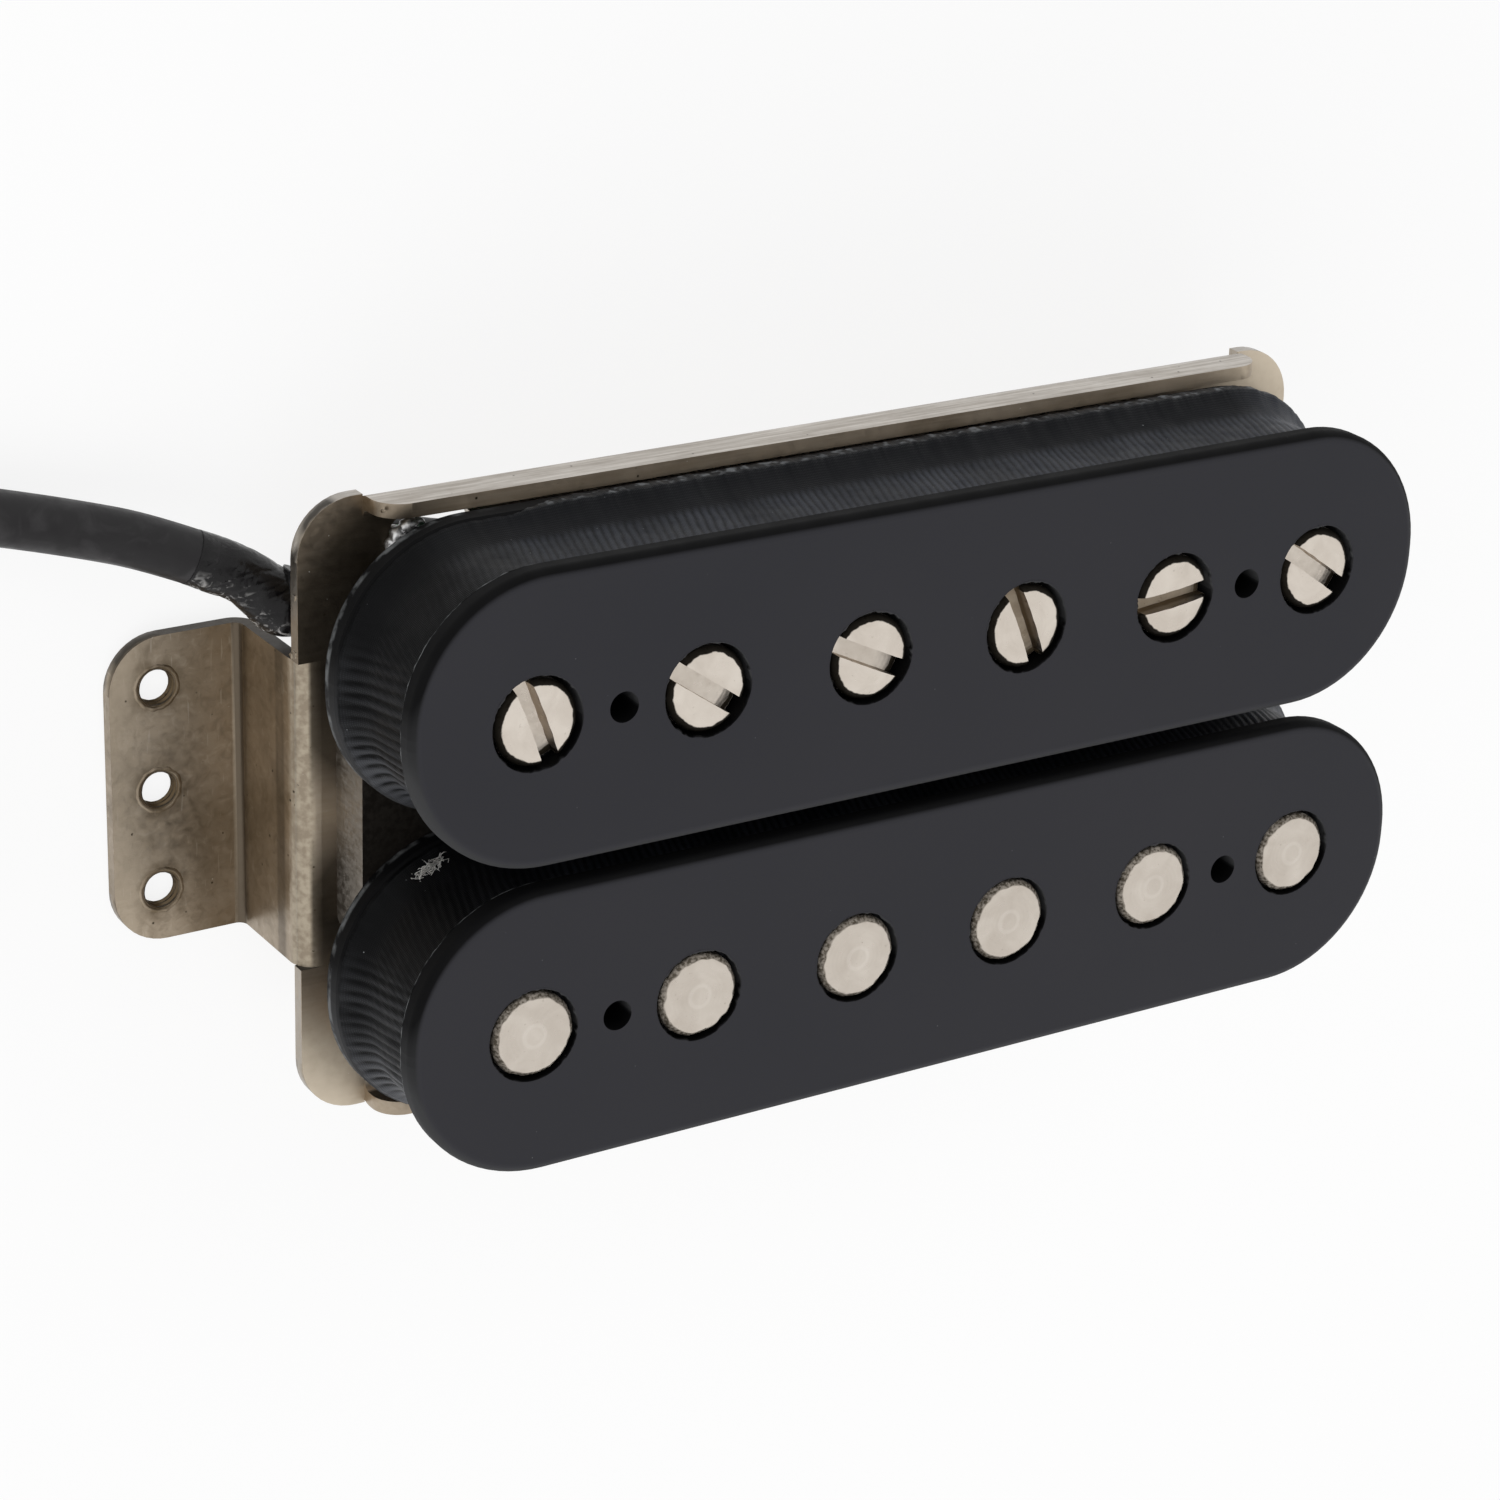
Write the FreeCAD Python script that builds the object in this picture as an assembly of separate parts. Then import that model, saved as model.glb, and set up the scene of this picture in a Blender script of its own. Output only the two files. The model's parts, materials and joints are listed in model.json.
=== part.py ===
import FreeCAD, Part
import math
import os

os.makedirs("parts", exist_ok=True)

# Open-coil humbucking guitar pickup, in millimetres.
# X runs along the rows of poles, Y across them, and Z up towards the strings.
# The origin lies midway between the two feet, on the surface that they stand on.

# Rows of poles
pole_count = 6
pole_pitch = 10.0
row_spacing = 17.4

# Baseplate
sheet = 0.8
plate_margin = 0.7
plate_end_margin = 0.05
plate_corner_radius = 3.2
flange_height = 2.4
flange_end_gap = 3.75
flange_end_radius = 1.6
inner_bend_radius = 0.5
leg_drop = 7.1
foot_reach = 7.5
foot_width = 17.5
foot_corner_radius = 3.0
tab_hole_diameter = 2.1
tab_hole_pitch = 5.85
tab_hole_edge = 2.7
screw_passage_diameter = 4.0
opening_length = 4.9
opening_width = 3.75
opening_corner_radius = 0.9
opening_end_gap = 5.25
opening_flange_gap = 0.75

# Magnet, keeper bar and spacer strip
magnet_height = 3.0
magnet_end_gap = 2.15
magnet_chamfer = 0.3
keeper_end_gap = 3.15
keeper_width = 4.8
spacer_end_gap = 3.15
spacer_width = 2.4
slug_side_gap = 0.02

# Bobbins
bobbin_height = 9.6
bobbin_end_reach = 7.1
bobbin_gap = 1.2
bobbin_end_flat = 0.6
top_flange = 1.4
bottom_flange = 1.2
flange_fillet = 0.6
rim_chamfer = 0.2
core_wall = 0.95
mouth_diameter = 5.25
slug_mouth_depth = 1.2
slug_hole_clearance = 0.05
vent_diameter = 1.7
lead_notch_width = 1.3
lead_notch_offset = 1.2

# Windings and tape
winding_inset = 1.2
winding_clearance = 0.05
tape_thickness = 0.35
tape_end_gap = 0.1

# Pole screws
head_diameter = 4.7
head_height = 2.4
head_crown = 0.3
head_proud = 0.1
head_edge_chamfer = 0.2
slot_width = 1.15
slot_depth = 1.1
shank_diameter = 3.1
thread_clearance = 0.05
bobbin_bore_clearance = 0.15
tip_height = 1.6
tip_chamfer = 0.5
travel_down = 0.4
head_floor_gap = 0.2
slot_angles = (110.9, 145.0, 154.3, 112.3, 6.1, 144.3)

# Pole slugs
slug_diameter = 4.76
slug_proud = 0.1
slug_chamfer = 0.35
dimple_diameter = 0.9
dimple_depth = 0.12

# Screws that hold the bobbins
holding_head_diameter = 4.0
holding_head_height = 1.2
holding_head_chamfer = 0.35
holding_shank_diameter = 2.2
holding_grip = 4.5
holding_clearance = 0.2
holding_slot_width = 0.8
holding_slot_depth = 0.6

# Output cable, its sleeve and its wires
cable_diameter = 3.0
sleeve_wall = 0.32
sleeve_clearance = 0.03
conductor_diameter = 1.0
conductor_spacing = 1.1
conductor_spread = 1.35
conductor_run_out = 0.9
conductor_rise = 2.2
conductor_dip = 2.5
conductor_stagger = 0.4
drain_diameter = 0.4
drain_offset = 1.2
drain_edge_gap = 0.4
drain_back_gap = 0.6
drain_depth = 0.35
solder_radius = 0.7
solder_height_share = 0.5
splice_diameter = 1.45
splice_length = 8.0
splice_start_gap = 2.0
splice_pitch_y = 1.6
splice_pitch_z = 1.5
splice_run_in = 1.4
lead_diameter = 0.5
lead_bend = 1.4
lead_rise = 4.0
lead_step = 0.6
lead_shift = 0.2

# Coil of the put-away length, its tie and the stripped end. The coil's middle is measured from the
# plate's -X end.
coil_offset = (-36.85, 0.0)
coil_start_radius = 20.4
coil_pitch = 3.45
coil_turns = 2.4
coil_run_in = 6.5
tie_thickness = 0.25
tie_width = 4.0
tie_clearance = 0.05
tie_end_clearance = 0.35
tie_corner_radius = 1.2
tie_angle = 180.0
stripped_length = 20.0
stripped_bend_radius = 7.0
stripped_run_out = 1.2

# One overrun serves every cut, and no edge shorter than the least one is drawn. A bend takes up
# this share of the shorter of its two runs. Thin wires have this many sides, to keep their facets
# few. The coil is drawn by this number of spans a turn, and its gaps are measured on this number of
# places a span.
overrun = 1.0
least_edge = 0.00001
bend_share = 0.45
thin_wire_sides = 8
spans_per_turn = 4
places_per_span = 48

# Heights worked out from the sizes above
plate_top = sheet + leg_drop
plate_bottom = plate_top - sheet
bobbin_bottom = plate_top + magnet_height
bobbin_top = bobbin_bottom + bobbin_height
window_bottom = bobbin_bottom + bottom_flange
window_top = bobbin_top - top_flange

# Widths and lengths, from the rows of poles outwards
row_y = row_spacing / 2
pole_span = (pole_count - 1) * pole_pitch
pole_positions = [index * pole_pitch - pole_span / 2 for index in range(pole_count)]
vent_position = (pole_positions[-2] + pole_positions[-1]) / 2
bobbin_width = row_spacing - bobbin_gap
bobbin_length = pole_span + 2 * bobbin_end_reach
plate_width = row_spacing + bobbin_width + 2 * plate_margin
plate_length = bobbin_length + 2 * plate_end_margin
plate_end = -plate_length / 2
flange_length = plate_length - 2 * flange_end_gap
magnet_length = plate_length - 2 * magnet_end_gap
keeper_length = plate_length - 2 * keeper_end_gap
spacer_length = plate_length - 2 * spacer_end_gap
core_half_width = mouth_diameter / 2 + core_wall
magnet_half_width = row_y - slug_diameter / 2 - slug_side_gap
outer_bend_radius = inner_bend_radius + sheet
flange_inner_y = plate_width / 2 - sheet
keeper_outer_y = magnet_half_width + keeper_width
channel_width = flange_inner_y - keeper_outer_y
foot_edge_x = plate_length / 2 + foot_reach
tab_hole_x = foot_edge_x - tab_hole_edge
opening_x = plate_end + opening_end_gap + opening_length / 2
opening_y = flange_inner_y - opening_flange_gap - opening_width / 2
splice_start_x = opening_x + opening_length / 2 + splice_start_gap
holding_hole_diameter = holding_shank_diameter + 2 * holding_clearance
cable_radius = cable_diameter / 2
sleeve_radius = cable_radius + sleeve_clearance + sleeve_wall
cable_rest_height = tie_thickness + tie_clearance + cable_radius

# Conductors by name: the side and the level of each in the bundle, whose middle lies halfway
bundle_middle_share = 0.5
conductor_places = {
    "red_conductor": (0, 0),
    "white_conductor": (0, 1),
    "black_conductor": (1, 0),
    "green_conductor": (1, 1),
}

# Stripped conductors by name: side and level in the jacket, then how far each fans out as a
# share of the cable's diameter, and its length as a share of the stripped length
far_end_shares = {
    "far_red_conductor": (-1, -1, 0.0, 1.0),
    "far_white_conductor": (-1, 1, -0.37, 0.9),
    "far_black_conductor": (1, -1, 0.57, 0.97),
    "far_green_conductor": (1, 1, 0.97, 0.95),
}
far_drain_share = 0.28

# How far each stripped conductor has fanned out and come down at its four steps, as shares
fan_shares = [(0.5, 0.1), (1, 0.5), (1, 1), (1, 1)]

# Middles of the lumps of solder, from the back left corner of the opening, as shares of their radius
solder_place_shares = [(-0.5, -3.0), (0.17, -2.0), (0.83, -1.0)]

# Where each coil lead lies in the channel between the keeper bar and the flange
channel_shares = {
    "screw_coil_start_lead": 0.16,
    "screw_coil_finish_lead": 0.3,
    "slug_coil_start_lead": 0.59,
    "slug_coil_finish_lead": 0.73,
}

# Route of the cable's axis, with X measured from the plate's -X end. It starts under the plate,
# leaves the sleeve, comes down to the surface and runs out to the coil. The points are chosen by
# hand.
sleeve_places = [
    (2.15, 12.15, 4.95),
    (-0.25, 12.3, 4.5),
    (-3.05, 13.55, 3.8),
]
cable_places = [
    (-3.05, 13.55, 3.8),
    (-6.13, 14.925, 3.03),
    (-9.45, 15.9, 2.35),
    (-13.25, 16.95, 1.95),
    (-18.45, 18.35, 1.8),
    (-24.25, 19.75, 1.8),
]
sleeve_route = [(plate_end + x, y, z) for x, y, z in sleeve_places]
cable_route = [(plate_end + x, y, z) for x, y, z in cable_places]
coil_centre = (plate_end + coil_offset[0], coil_offset[1])


def vec(x, y, z):
    return FreeCAD.Vector(x, y, z)


def save(shape, name):
    """Write one sub-part to its own file."""
    shape.exportStep("parts/" + name + ".step")
    print(name, "solids", len(shape.Solids), "volume", round(shape.Volume, 2))


def join(shapes):
    """Fuse solids that make up one piece."""
    result = shapes[0]
    for shape in shapes[1:]:
        result = result.fuse(shape)
    return result.removeSplitter()


def cut_all(shape, tools):
    """Cut every tool out of a solid."""
    result = shape
    for tool in tools:
        result = result.cut(tool)
    return result


def rod(diameter, bottom, top, x=0, y=0):
    """Upright cylinder between two heights."""
    return Part.makeCylinder(diameter / 2, top - bottom, vec(x, y, bottom))


def block(low, high):
    """Box between two corners."""
    size = [b - a for a, b in zip(low, high)]
    return Part.makeBox(size[0], size[1], size[2], vec(*low))


def rounded_face(length, width, radius, z=0, x=0, y=0):
    """Flat face with rounded corners, centred on x and y."""
    hx = length / 2
    hy = width / 2
    slant = radius * (1 - math.cos(math.pi / 4))
    edges = []
    corners = [(1, 1), (-1, 1), (-1, -1), (1, -1)]
    ends = []
    for sx, sy in corners:
        on_side = vec(x + sx * hx, y + sy * (hy - radius), z)
        on_long = vec(x + sx * (hx - radius), y + sy * hy, z)
        middle = vec(x + sx * (hx - slant), y + sy * (hy - slant), z)
        first, last = (on_side, on_long) if sx == sy else (on_long, on_side)
        edges.append(Part.Arc(first, middle, last).toShape())
        ends.append((first, last))
    for index in range(len(ends)):
        start = ends[index][1]
        finish = ends[(index + 1) % len(ends)][0]
        if (finish - start).Length > least_edge:
            edges.append(Part.LineSegment(start, finish).toShape())
    return Part.Face(Part.Wire(Part.__sortEdges__(edges)))


def rounded_block(length, width, radius, bottom, top, x=0, y=0):
    """Upright prism with rounded corners."""
    return rounded_face(length, width, radius, bottom, x, y).extrude(vec(0, 0, top - bottom))


def bend_section(corners, radii):
    """Closed wire through corners in the XZ plane, each rounded by its own radius."""
    edges = []
    count = len(corners)
    starts = []
    stops = []
    for index, corner in enumerate(corners):
        here = vec(corner[0], 0, corner[1])
        before = vec(corners[index - 1][0], 0, corners[index - 1][1])
        after = vec(corners[(index + 1) % count][0], 0, corners[(index + 1) % count][1])
        radius = radii[index]
        inward = (before - here).normalize()
        outward = (after - here).normalize()
        half = inward.getAngle(outward) / 2
        reach = radius / math.tan(half)
        first = here + inward * reach
        last = here + outward * reach
        starts.append(first)
        stops.append(last)
        if radius > 0:
            bisector = (inward + outward).normalize()
            middle = here + bisector * (radius / math.sin(half) - radius)
            edges.append(Part.Arc(first, middle, last).toShape())
    for index in range(count):
        finish = starts[(index + 1) % count]
        if (finish - stops[index]).Length > least_edge:
            edges.append(Part.LineSegment(stops[index], finish).toShape())
    return Part.Wire(Part.__sortEdges__(edges))


def plate_leg():
    """Leg and foot at the +X end, bent from the same sheet as the plate."""
    inside = plate_length / 2 - outer_bend_radius
    outer = plate_length / 2
    corners = [
        (inside, plate_top),
        (outer, plate_top),
        (outer, sheet),
        (foot_edge_x, sheet),
        (foot_edge_x, 0),
        (outer - sheet, 0),
        (outer - sheet, plate_bottom),
        (inside, plate_bottom),
    ]
    radii = [0, outer_bend_radius, inner_bend_radius, 0, 0, outer_bend_radius, inner_bend_radius, 0]
    profile = Part.Face(bend_section(corners, radii))
    leg = profile.extrude(vec(0, foot_width, 0))
    leg.translate(vec(0, -foot_width / 2, 0))
    foot_outline = rounded_block(
        2 * foot_edge_x, foot_width, foot_corner_radius, -overrun, plate_top + overrun
    )
    leg = leg.common(foot_outline)
    holes = []
    for step in (-1, 0, 1):
        holes.append(rod(tab_hole_diameter, -overrun, sheet + overrun, tab_hole_x, step * tab_hole_pitch))
    return cut_all(leg, holes)


def plate_flange():
    """Turned-up edge on the +Y side, with ends that curve down into the plate."""
    edge = plate_width / 2
    top = plate_top + flange_height
    inside = edge - outer_bend_radius
    corners = [
        (inside, plate_bottom),
        (edge, plate_bottom),
        (edge, top),
        (edge - sheet, top),
        (edge - sheet, plate_top),
        (inside, plate_top),
    ]
    radii = [0, outer_bend_radius, 0, 0, inner_bend_radius, 0]
    profile = Part.Face(bend_section(corners, radii))
    flange = profile.extrude(vec(0, flange_length, 0))
    flange.rotate(vec(0, 0, 0), vec(0, 0, 1), math.degrees(math.pi / 2))
    flange.translate(vec(flange_length / 2, 0, 0))
    side_view = bend_section(
        [
            (-flange_length / 2, plate_bottom - overrun),
            (flange_length / 2, plate_bottom - overrun),
            (flange_length / 2, top),
            (-flange_length / 2, top),
        ],
        [0, 0, flange_end_radius, flange_end_radius],
    )
    side = Part.Face(side_view).extrude(vec(0, 2 * edge, 0))
    return flange.common(side)


def flat_plate():
    """Flat middle of the plate, with its four round corners left beyond the flanges and legs."""
    plate = rounded_block(plate_length, plate_width, plate_corner_radius, plate_bottom, plate_top)
    edge = plate_width / 2
    end = plate_length / 2
    bends = []
    for sign in (-1, 1):
        near = sign * (edge - outer_bend_radius)
        far = sign * (edge + overrun)
        bends.append(
            block(
                (-flange_length / 2, min(near, far), plate_bottom - overrun),
                (flange_length / 2, max(near, far), plate_top + overrun),
            )
        )
        near = sign * (end - outer_bend_radius)
        far = sign * (end + overrun)
        bends.append(
            block(
                (min(near, far), -foot_width / 2, plate_bottom - overrun),
                (max(near, far), foot_width / 2, plate_top + overrun),
            )
        )
    return cut_all(plate, bends)


def baseplate():
    """Folded sheet: flat plate, two turned-up edges, two legs with feet, and all its holes."""
    leg = plate_leg()
    flange = plate_flange()
    half_turn = math.degrees(math.pi)
    other_leg = leg.copy()
    other_leg.rotate(vec(0, 0, 0), vec(0, 0, 1), half_turn)
    other_flange = flange.copy()
    other_flange.rotate(vec(0, 0, 0), vec(0, 0, 1), half_turn)
    plate = join([flat_plate(), leg, other_leg, flange, other_flange])
    low = plate_bottom - overrun
    high = plate_top + overrun
    holes = [rod(screw_passage_diameter, low, high, x, row_y) for x in pole_positions]
    for x in (-vent_position, vent_position):
        for y in (-row_y, row_y):
            holes.append(rod(holding_hole_diameter, low, high, x, y))
    holes.append(
        rounded_block(
            opening_length, opening_width, opening_corner_radius, low, high, opening_x, opening_y
        )
    )
    return cut_all(plate, holes)


def bobbin_plan(inset, bottom, top, y):
    """Prism over the bobbin's outline, drawn in by an inset."""
    length = bobbin_length - 2 * inset
    width = bobbin_width - 2 * inset
    radius = (width - bobbin_end_flat) / 2
    return rounded_block(length, width, radius, bottom, top, 0, y)


def core_plan(growth, bottom, top, y):
    """Prism over the outline of the bobbin's core, grown by a clearance."""
    half = core_half_width + growth
    length = pole_span + 2 * half
    radius = half - bobbin_end_flat / 2
    return rounded_block(length, 2 * half, radius, bottom, top, 0, y)


def edges_at(shape, z):
    """Edges of a shape that lie flat at one height."""
    return [edge for edge in shape.Edges if edge.BoundBox.ZLength < rim_chamfer and
            abs(edge.BoundBox.ZMin - z) < rim_chamfer / 2]


def bobbin_body(y):
    """Two flanges on a core, without holes."""
    top = bobbin_plan(0, window_top, bobbin_top, y)
    top = top.makeFillet(min(flange_fillet, top_flange / 2), edges_at(top, bobbin_top))
    top = top.makeChamfer(min(rim_chamfer, top_flange / 4), edges_at(top, window_top))
    bottom = bobbin_plan(0, bobbin_bottom, window_bottom, y)
    bottom = bottom.makeChamfer(min(rim_chamfer, bottom_flange / 4), edges_at(bottom, window_bottom))
    core = core_plan(0, bobbin_bottom, bobbin_top - top_flange / 2, y)
    return join([top, core, bottom])


def lead_x():
    """Place along X where the leads drop out of the winding, at its +X end."""
    return bobbin_length / 2 - winding_inset - lead_diameter


def lead_notches(y):
    """Open notches in the bottom flange, through which the coil's leads come down."""
    tools = []
    for side in (-1, 1):
        middle = y + side * lead_notch_offset
        low = (lead_x() - lead_notch_width / 2, middle - lead_notch_width / 2, bobbin_bottom - overrun)
        high = (bobbin_length, middle + lead_notch_width / 2, window_bottom)
        tools.append(block(low, high))
    return tools


def holding_bores(y):
    """Bores from below for the holding screws, each with a fine vent up to the top face."""
    tools = []
    bore = holding_shank_diameter + 2 * thread_clearance
    for x in (-vent_position, vent_position):
        tools.append(rod(bore, bobbin_bottom - overrun, bobbin_bottom + holding_grip + overrun, x, y))
        tools.append(rod(vent_diameter, bobbin_bottom, bobbin_top + overrun, x, y))
    return tools


def screw_bobbin():
    """Bobbin for the adjustable poles, with a counterbore for each head."""
    floor = bobbin_top + head_proud - head_height - travel_down - head_floor_gap
    bore = shank_diameter + 2 * bobbin_bore_clearance
    tools = lead_notches(row_y) + holding_bores(row_y)
    for x in pole_positions:
        tools.append(rod(mouth_diameter, floor, bobbin_top + overrun, x, row_y))
        tools.append(rod(bore, bobbin_bottom - overrun, bobbin_top, x, row_y))
    return cut_all(bobbin_body(row_y), tools)


def slug_bobbin():
    """Bobbin for the fixed poles, with a wider mouth round each slug."""
    bore = slug_diameter + 2 * slug_hole_clearance
    tools = lead_notches(-row_y) + holding_bores(-row_y)
    for x in pole_positions:
        mouth_floor = bobbin_top - slug_mouth_depth
        tools.append(rod(mouth_diameter, mouth_floor, bobbin_top + overrun, x, -row_y))
        tools.append(rod(bore, bobbin_bottom - overrun, bobbin_top, x, -row_y))
    return cut_all(bobbin_body(-row_y), tools)


def winding(y):
    """Wound wire between the flanges, as one closed ring."""
    outside = bobbin_plan(winding_inset, window_bottom, window_top, y)
    return outside.cut(core_plan(winding_clearance, window_bottom, window_top, y))


def winding_tape(y):
    """Tape wrapped once round the winding."""
    low = window_bottom + tape_end_gap
    high = window_top - tape_end_gap
    inner = winding_inset - winding_clearance
    outside = bobbin_plan(inner - tape_thickness, low, high, y)
    return outside.cut(bobbin_plan(inner, low, high, y))


def bar_magnet():
    """Flat bar magnet between the two rows, with broken long edges."""
    bar = block(
        (-magnet_length / 2, -magnet_half_width, plate_top),
        (magnet_length / 2, magnet_half_width, bobbin_bottom),
    )
    long_edges = [edge for edge in bar.Edges if edge.BoundBox.XLength > magnet_length / 2]
    return bar.makeChamfer(magnet_chamfer, long_edges)


def keeper_bar():
    """Steel bar beside the magnet, tapped for the pole screws."""
    low_y = magnet_half_width
    bar = block(
        (-keeper_length / 2, low_y, plate_top),
        (keeper_length / 2, low_y + keeper_width, bobbin_bottom),
    )
    bore = shank_diameter + 2 * thread_clearance
    low = plate_top - overrun
    high = bobbin_bottom + overrun
    tools = [rod(bore, low, high, x, row_y) for x in pole_positions]
    for x in (-vent_position, vent_position):
        tools.append(rod(holding_hole_diameter, low, high, x, row_y))
    return cut_all(bar, tools)


def spacer_strip():
    """Wooden strip outside the slugs, which carries the slug bobbin's outer side."""
    near = row_y + slug_diameter / 2 + slug_hole_clearance
    return block(
        (-spacer_length / 2, -near - spacer_width, plate_top),
        (spacer_length / 2, -near, bobbin_bottom),
    )


def pole_slug(x):
    """Plain slug with a bevelled rim and a small turning mark on its face."""
    top = bobbin_top + slug_proud
    slug = rod(slug_diameter, plate_top, top, x, -row_y)
    rims = [edge for edge in slug.Edges if edge.BoundBox.ZLength < slug_chamfer]
    slug = slug.makeChamfer(slug_chamfer, rims)
    return slug.cut(rod(dimple_diameter, top - dimple_depth, top + overrun, x, -row_y))


def pole_screw(x, angle):
    """Slotted screw with a crowned head, a plain shank for its thread and a chamfered tip."""
    crown_base = bobbin_top + head_proud - head_crown
    head_bottom = bobbin_top + head_proud - head_height
    half = head_diameter / 2
    crown_radius = (half ** 2 + head_crown ** 2) / (2 * head_crown)
    head = rod(head_diameter, head_bottom, bobbin_top + head_proud, x, row_y)
    ball = Part.makeSphere(crown_radius, vec(x, row_y, crown_base + head_crown - crown_radius))
    head = head.common(ball)
    rim = [edge for edge in head.Edges
           if edge.BoundBox.ZLength < head_crown / 2 and abs(edge.BoundBox.ZMin - crown_base) < head_crown / 2
           and edge.BoundBox.XLength > half]
    head = head.makeChamfer(head_edge_chamfer, rim)
    shank = rod(shank_diameter, tip_height, head_bottom, x, row_y)
    tip = [edge for edge in shank.Edges
           if edge.BoundBox.ZLength < tip_chamfer and edge.BoundBox.ZMax < tip_height + tip_chamfer]
    shank = shank.makeChamfer(tip_chamfer, tip)
    slot = block(
        (-head_diameter, -slot_width / 2, bobbin_top + head_proud - slot_depth),
        (head_diameter, slot_width / 2, bobbin_top + overrun),
    )
    slot.rotate(vec(0, 0, 0), vec(0, 0, 1), angle)
    slot.translate(vec(x, row_y, 0))
    return join([head, shank]).cut(slot)


def holding_screws():
    """Four small screws from below, through the plate into the bobbins."""
    screws = []
    for x in (-vent_position, vent_position):
        for y in (-row_y, row_y):
            low = plate_bottom - holding_head_height
            head = rod(holding_head_diameter, low, plate_bottom, x, y)
            rim = [edge for edge in head.Edges if edge.BoundBox.ZMax < low + holding_head_chamfer]
            head = head.makeChamfer(holding_head_chamfer, rim)
            shank = rod(holding_shank_diameter, plate_bottom, bobbin_bottom + holding_grip, x, y)
            slot = block(
                (x - holding_head_diameter, y - holding_slot_width / 2, low - overrun),
                (x + holding_head_diameter, y + holding_slot_width / 2, low + holding_slot_depth),
            )
            screws.append(join([head, shank]).cut(slot))
    return Part.makeCompound(screws)


def arc_middle(start, tangent, finish):
    """Middle of the arc that leaves start along tangent and ends at finish."""
    chord = finish - start
    along = vec(chord.x, chord.y, chord.z).normalize()
    side = tangent - along * tangent.dot(along)
    half_angle = math.atan2(side.Length, tangent.dot(along)) / 2
    bulge = chord.Length / 2 * math.tan(half_angle)
    return start + chord * 0.5 + side.normalize() * bulge


def route_edges(points):
    """Straight runs joined by tangent arcs, each as large as its two runs allow."""
    places = [vec(*point) for point in points]
    edges = []
    radii = []
    last = places[0]
    for index in range(1, len(places) - 1):
        corner = places[index]
        back = places[index - 1] - corner
        ahead = places[index + 1] - corner
        reach = bend_share * min(back.Length, ahead.Length)
        half_turn = (math.pi - back.getAngle(ahead)) / 2
        first = corner + back.normalize() * reach
        second = corner + ahead.normalize() * reach
        radius = reach / math.tan(half_turn)
        middle = arc_middle(first, (corner - first).normalize(), second)
        edges.append(Part.LineSegment(last, first).toShape())
        edges.append(Part.Arc(first, middle, second).toShape())
        radii.append(radius)
        last = second
    edges.append(Part.LineSegment(last, places[-1]).toShape())
    return edges, radii


def tube_section(diameter, start, heading):
    """Outline of a tube: a circle, or a polygon for a thin wire."""
    circle = Part.makeCircle(diameter / 2, start, heading)
    if diameter > conductor_diameter:
        return Part.Wire(circle)
    return Part.makePolygon(circle.discretize(thin_wire_sides + 1))


def sweep(edges, diameter, name):
    """Tube along tangent edges, with its volume compared with section times length."""
    path = Part.Wire(edges)
    start = edges[0].firstVertex().Point
    heading = edges[0].tangentAt(edges[0].FirstParameter)
    section = tube_section(diameter, start, heading)
    tube = path.makePipeShell([section], True, False)
    expected = Part.Face(section).Area * path.Length
    print(name, "length", round(path.Length, 2), "volume share", round(tube.Volume / expected, 4))
    return tube


def wire_tube(points, diameter, name):
    """Tube along a route of points, with its radii printed."""
    edges, radii = route_edges(points)
    if radii:
        print(name, "radii", [round(radius, 2) for radius in radii])
    return sweep(edges, diameter, name)


def cable_sleeve():
    """Heat-shrink sleeve on the cable where it goes under the plate."""
    outside = wire_tube(sleeve_route, 2 * sleeve_radius, "cable_sleeve")
    inside = wire_tube(sleeve_route, cable_diameter + 2 * sleeve_clearance, "sleeve bore")
    return outside.cut(inside)


def splice_places():
    """Y and Z of the four splices, beside the keeper bar."""
    first_y = (keeper_outer_y + flange_inner_y - splice_pitch_y) / 2
    low_z = plate_top + splice_diameter / 2
    places = {}
    for side in (0, 1):
        for level in (0, 1):
            places[(side, level)] = (first_y + side * splice_pitch_y, low_z + level * splice_pitch_z)
    return places


def splice_sleeves():
    """Four sleeves over the soldered splices, lying in a bundle on the plate."""
    sleeves = []
    for y, z in splice_places().values():
        sleeves.append(
            Part.makeCylinder(splice_diameter / 2, splice_length, vec(splice_start_x, y, z), vec(1, 0, 0))
        )
    return Part.makeCompound(sleeves)


def jacket_frame():
    """Middle of the jacket's inner end, with the directions along, across and up from it."""
    start = vec(*sleeve_route[0])
    heading = (start - vec(*sleeve_route[1])).normalize()
    across = vec(-heading.y, heading.x, 0).normalize()
    return start, heading, across, heading.cross(across)


def inner_conductor(side, level, name):
    """Coloured conductor from the jacket's end, up through the opening, to its splice."""
    start, heading, across, upward = jacket_frame()
    sideways = side - bundle_middle_share
    lift = (level - bundle_middle_share) * conductor_spacing
    face = start + across * (sideways * conductor_spacing) + upward * lift
    splice_y, splice_z = splice_places()[(side, level)]
    inner_y, outer_y = [splice_places()[(each, level)][0] for each in (0, 1)]
    below_y = (inner_y + outer_y) / 2 + sideways * conductor_spread
    stagger = sideways * conductor_stagger
    below_x = opening_x - conductor_rise - lift - stagger
    above_x = opening_x + conductor_rise - conductor_diameter / 2 - lift / 2
    points = [
        face,
        face + heading * (conductor_run_out - stagger),
        vec(below_x, below_y, plate_bottom - conductor_dip + lift),
        vec(above_x, splice_y, splice_z),
        vec(splice_start_x, splice_y, splice_z),
    ]
    return wire_tube(points, conductor_diameter, name)


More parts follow.
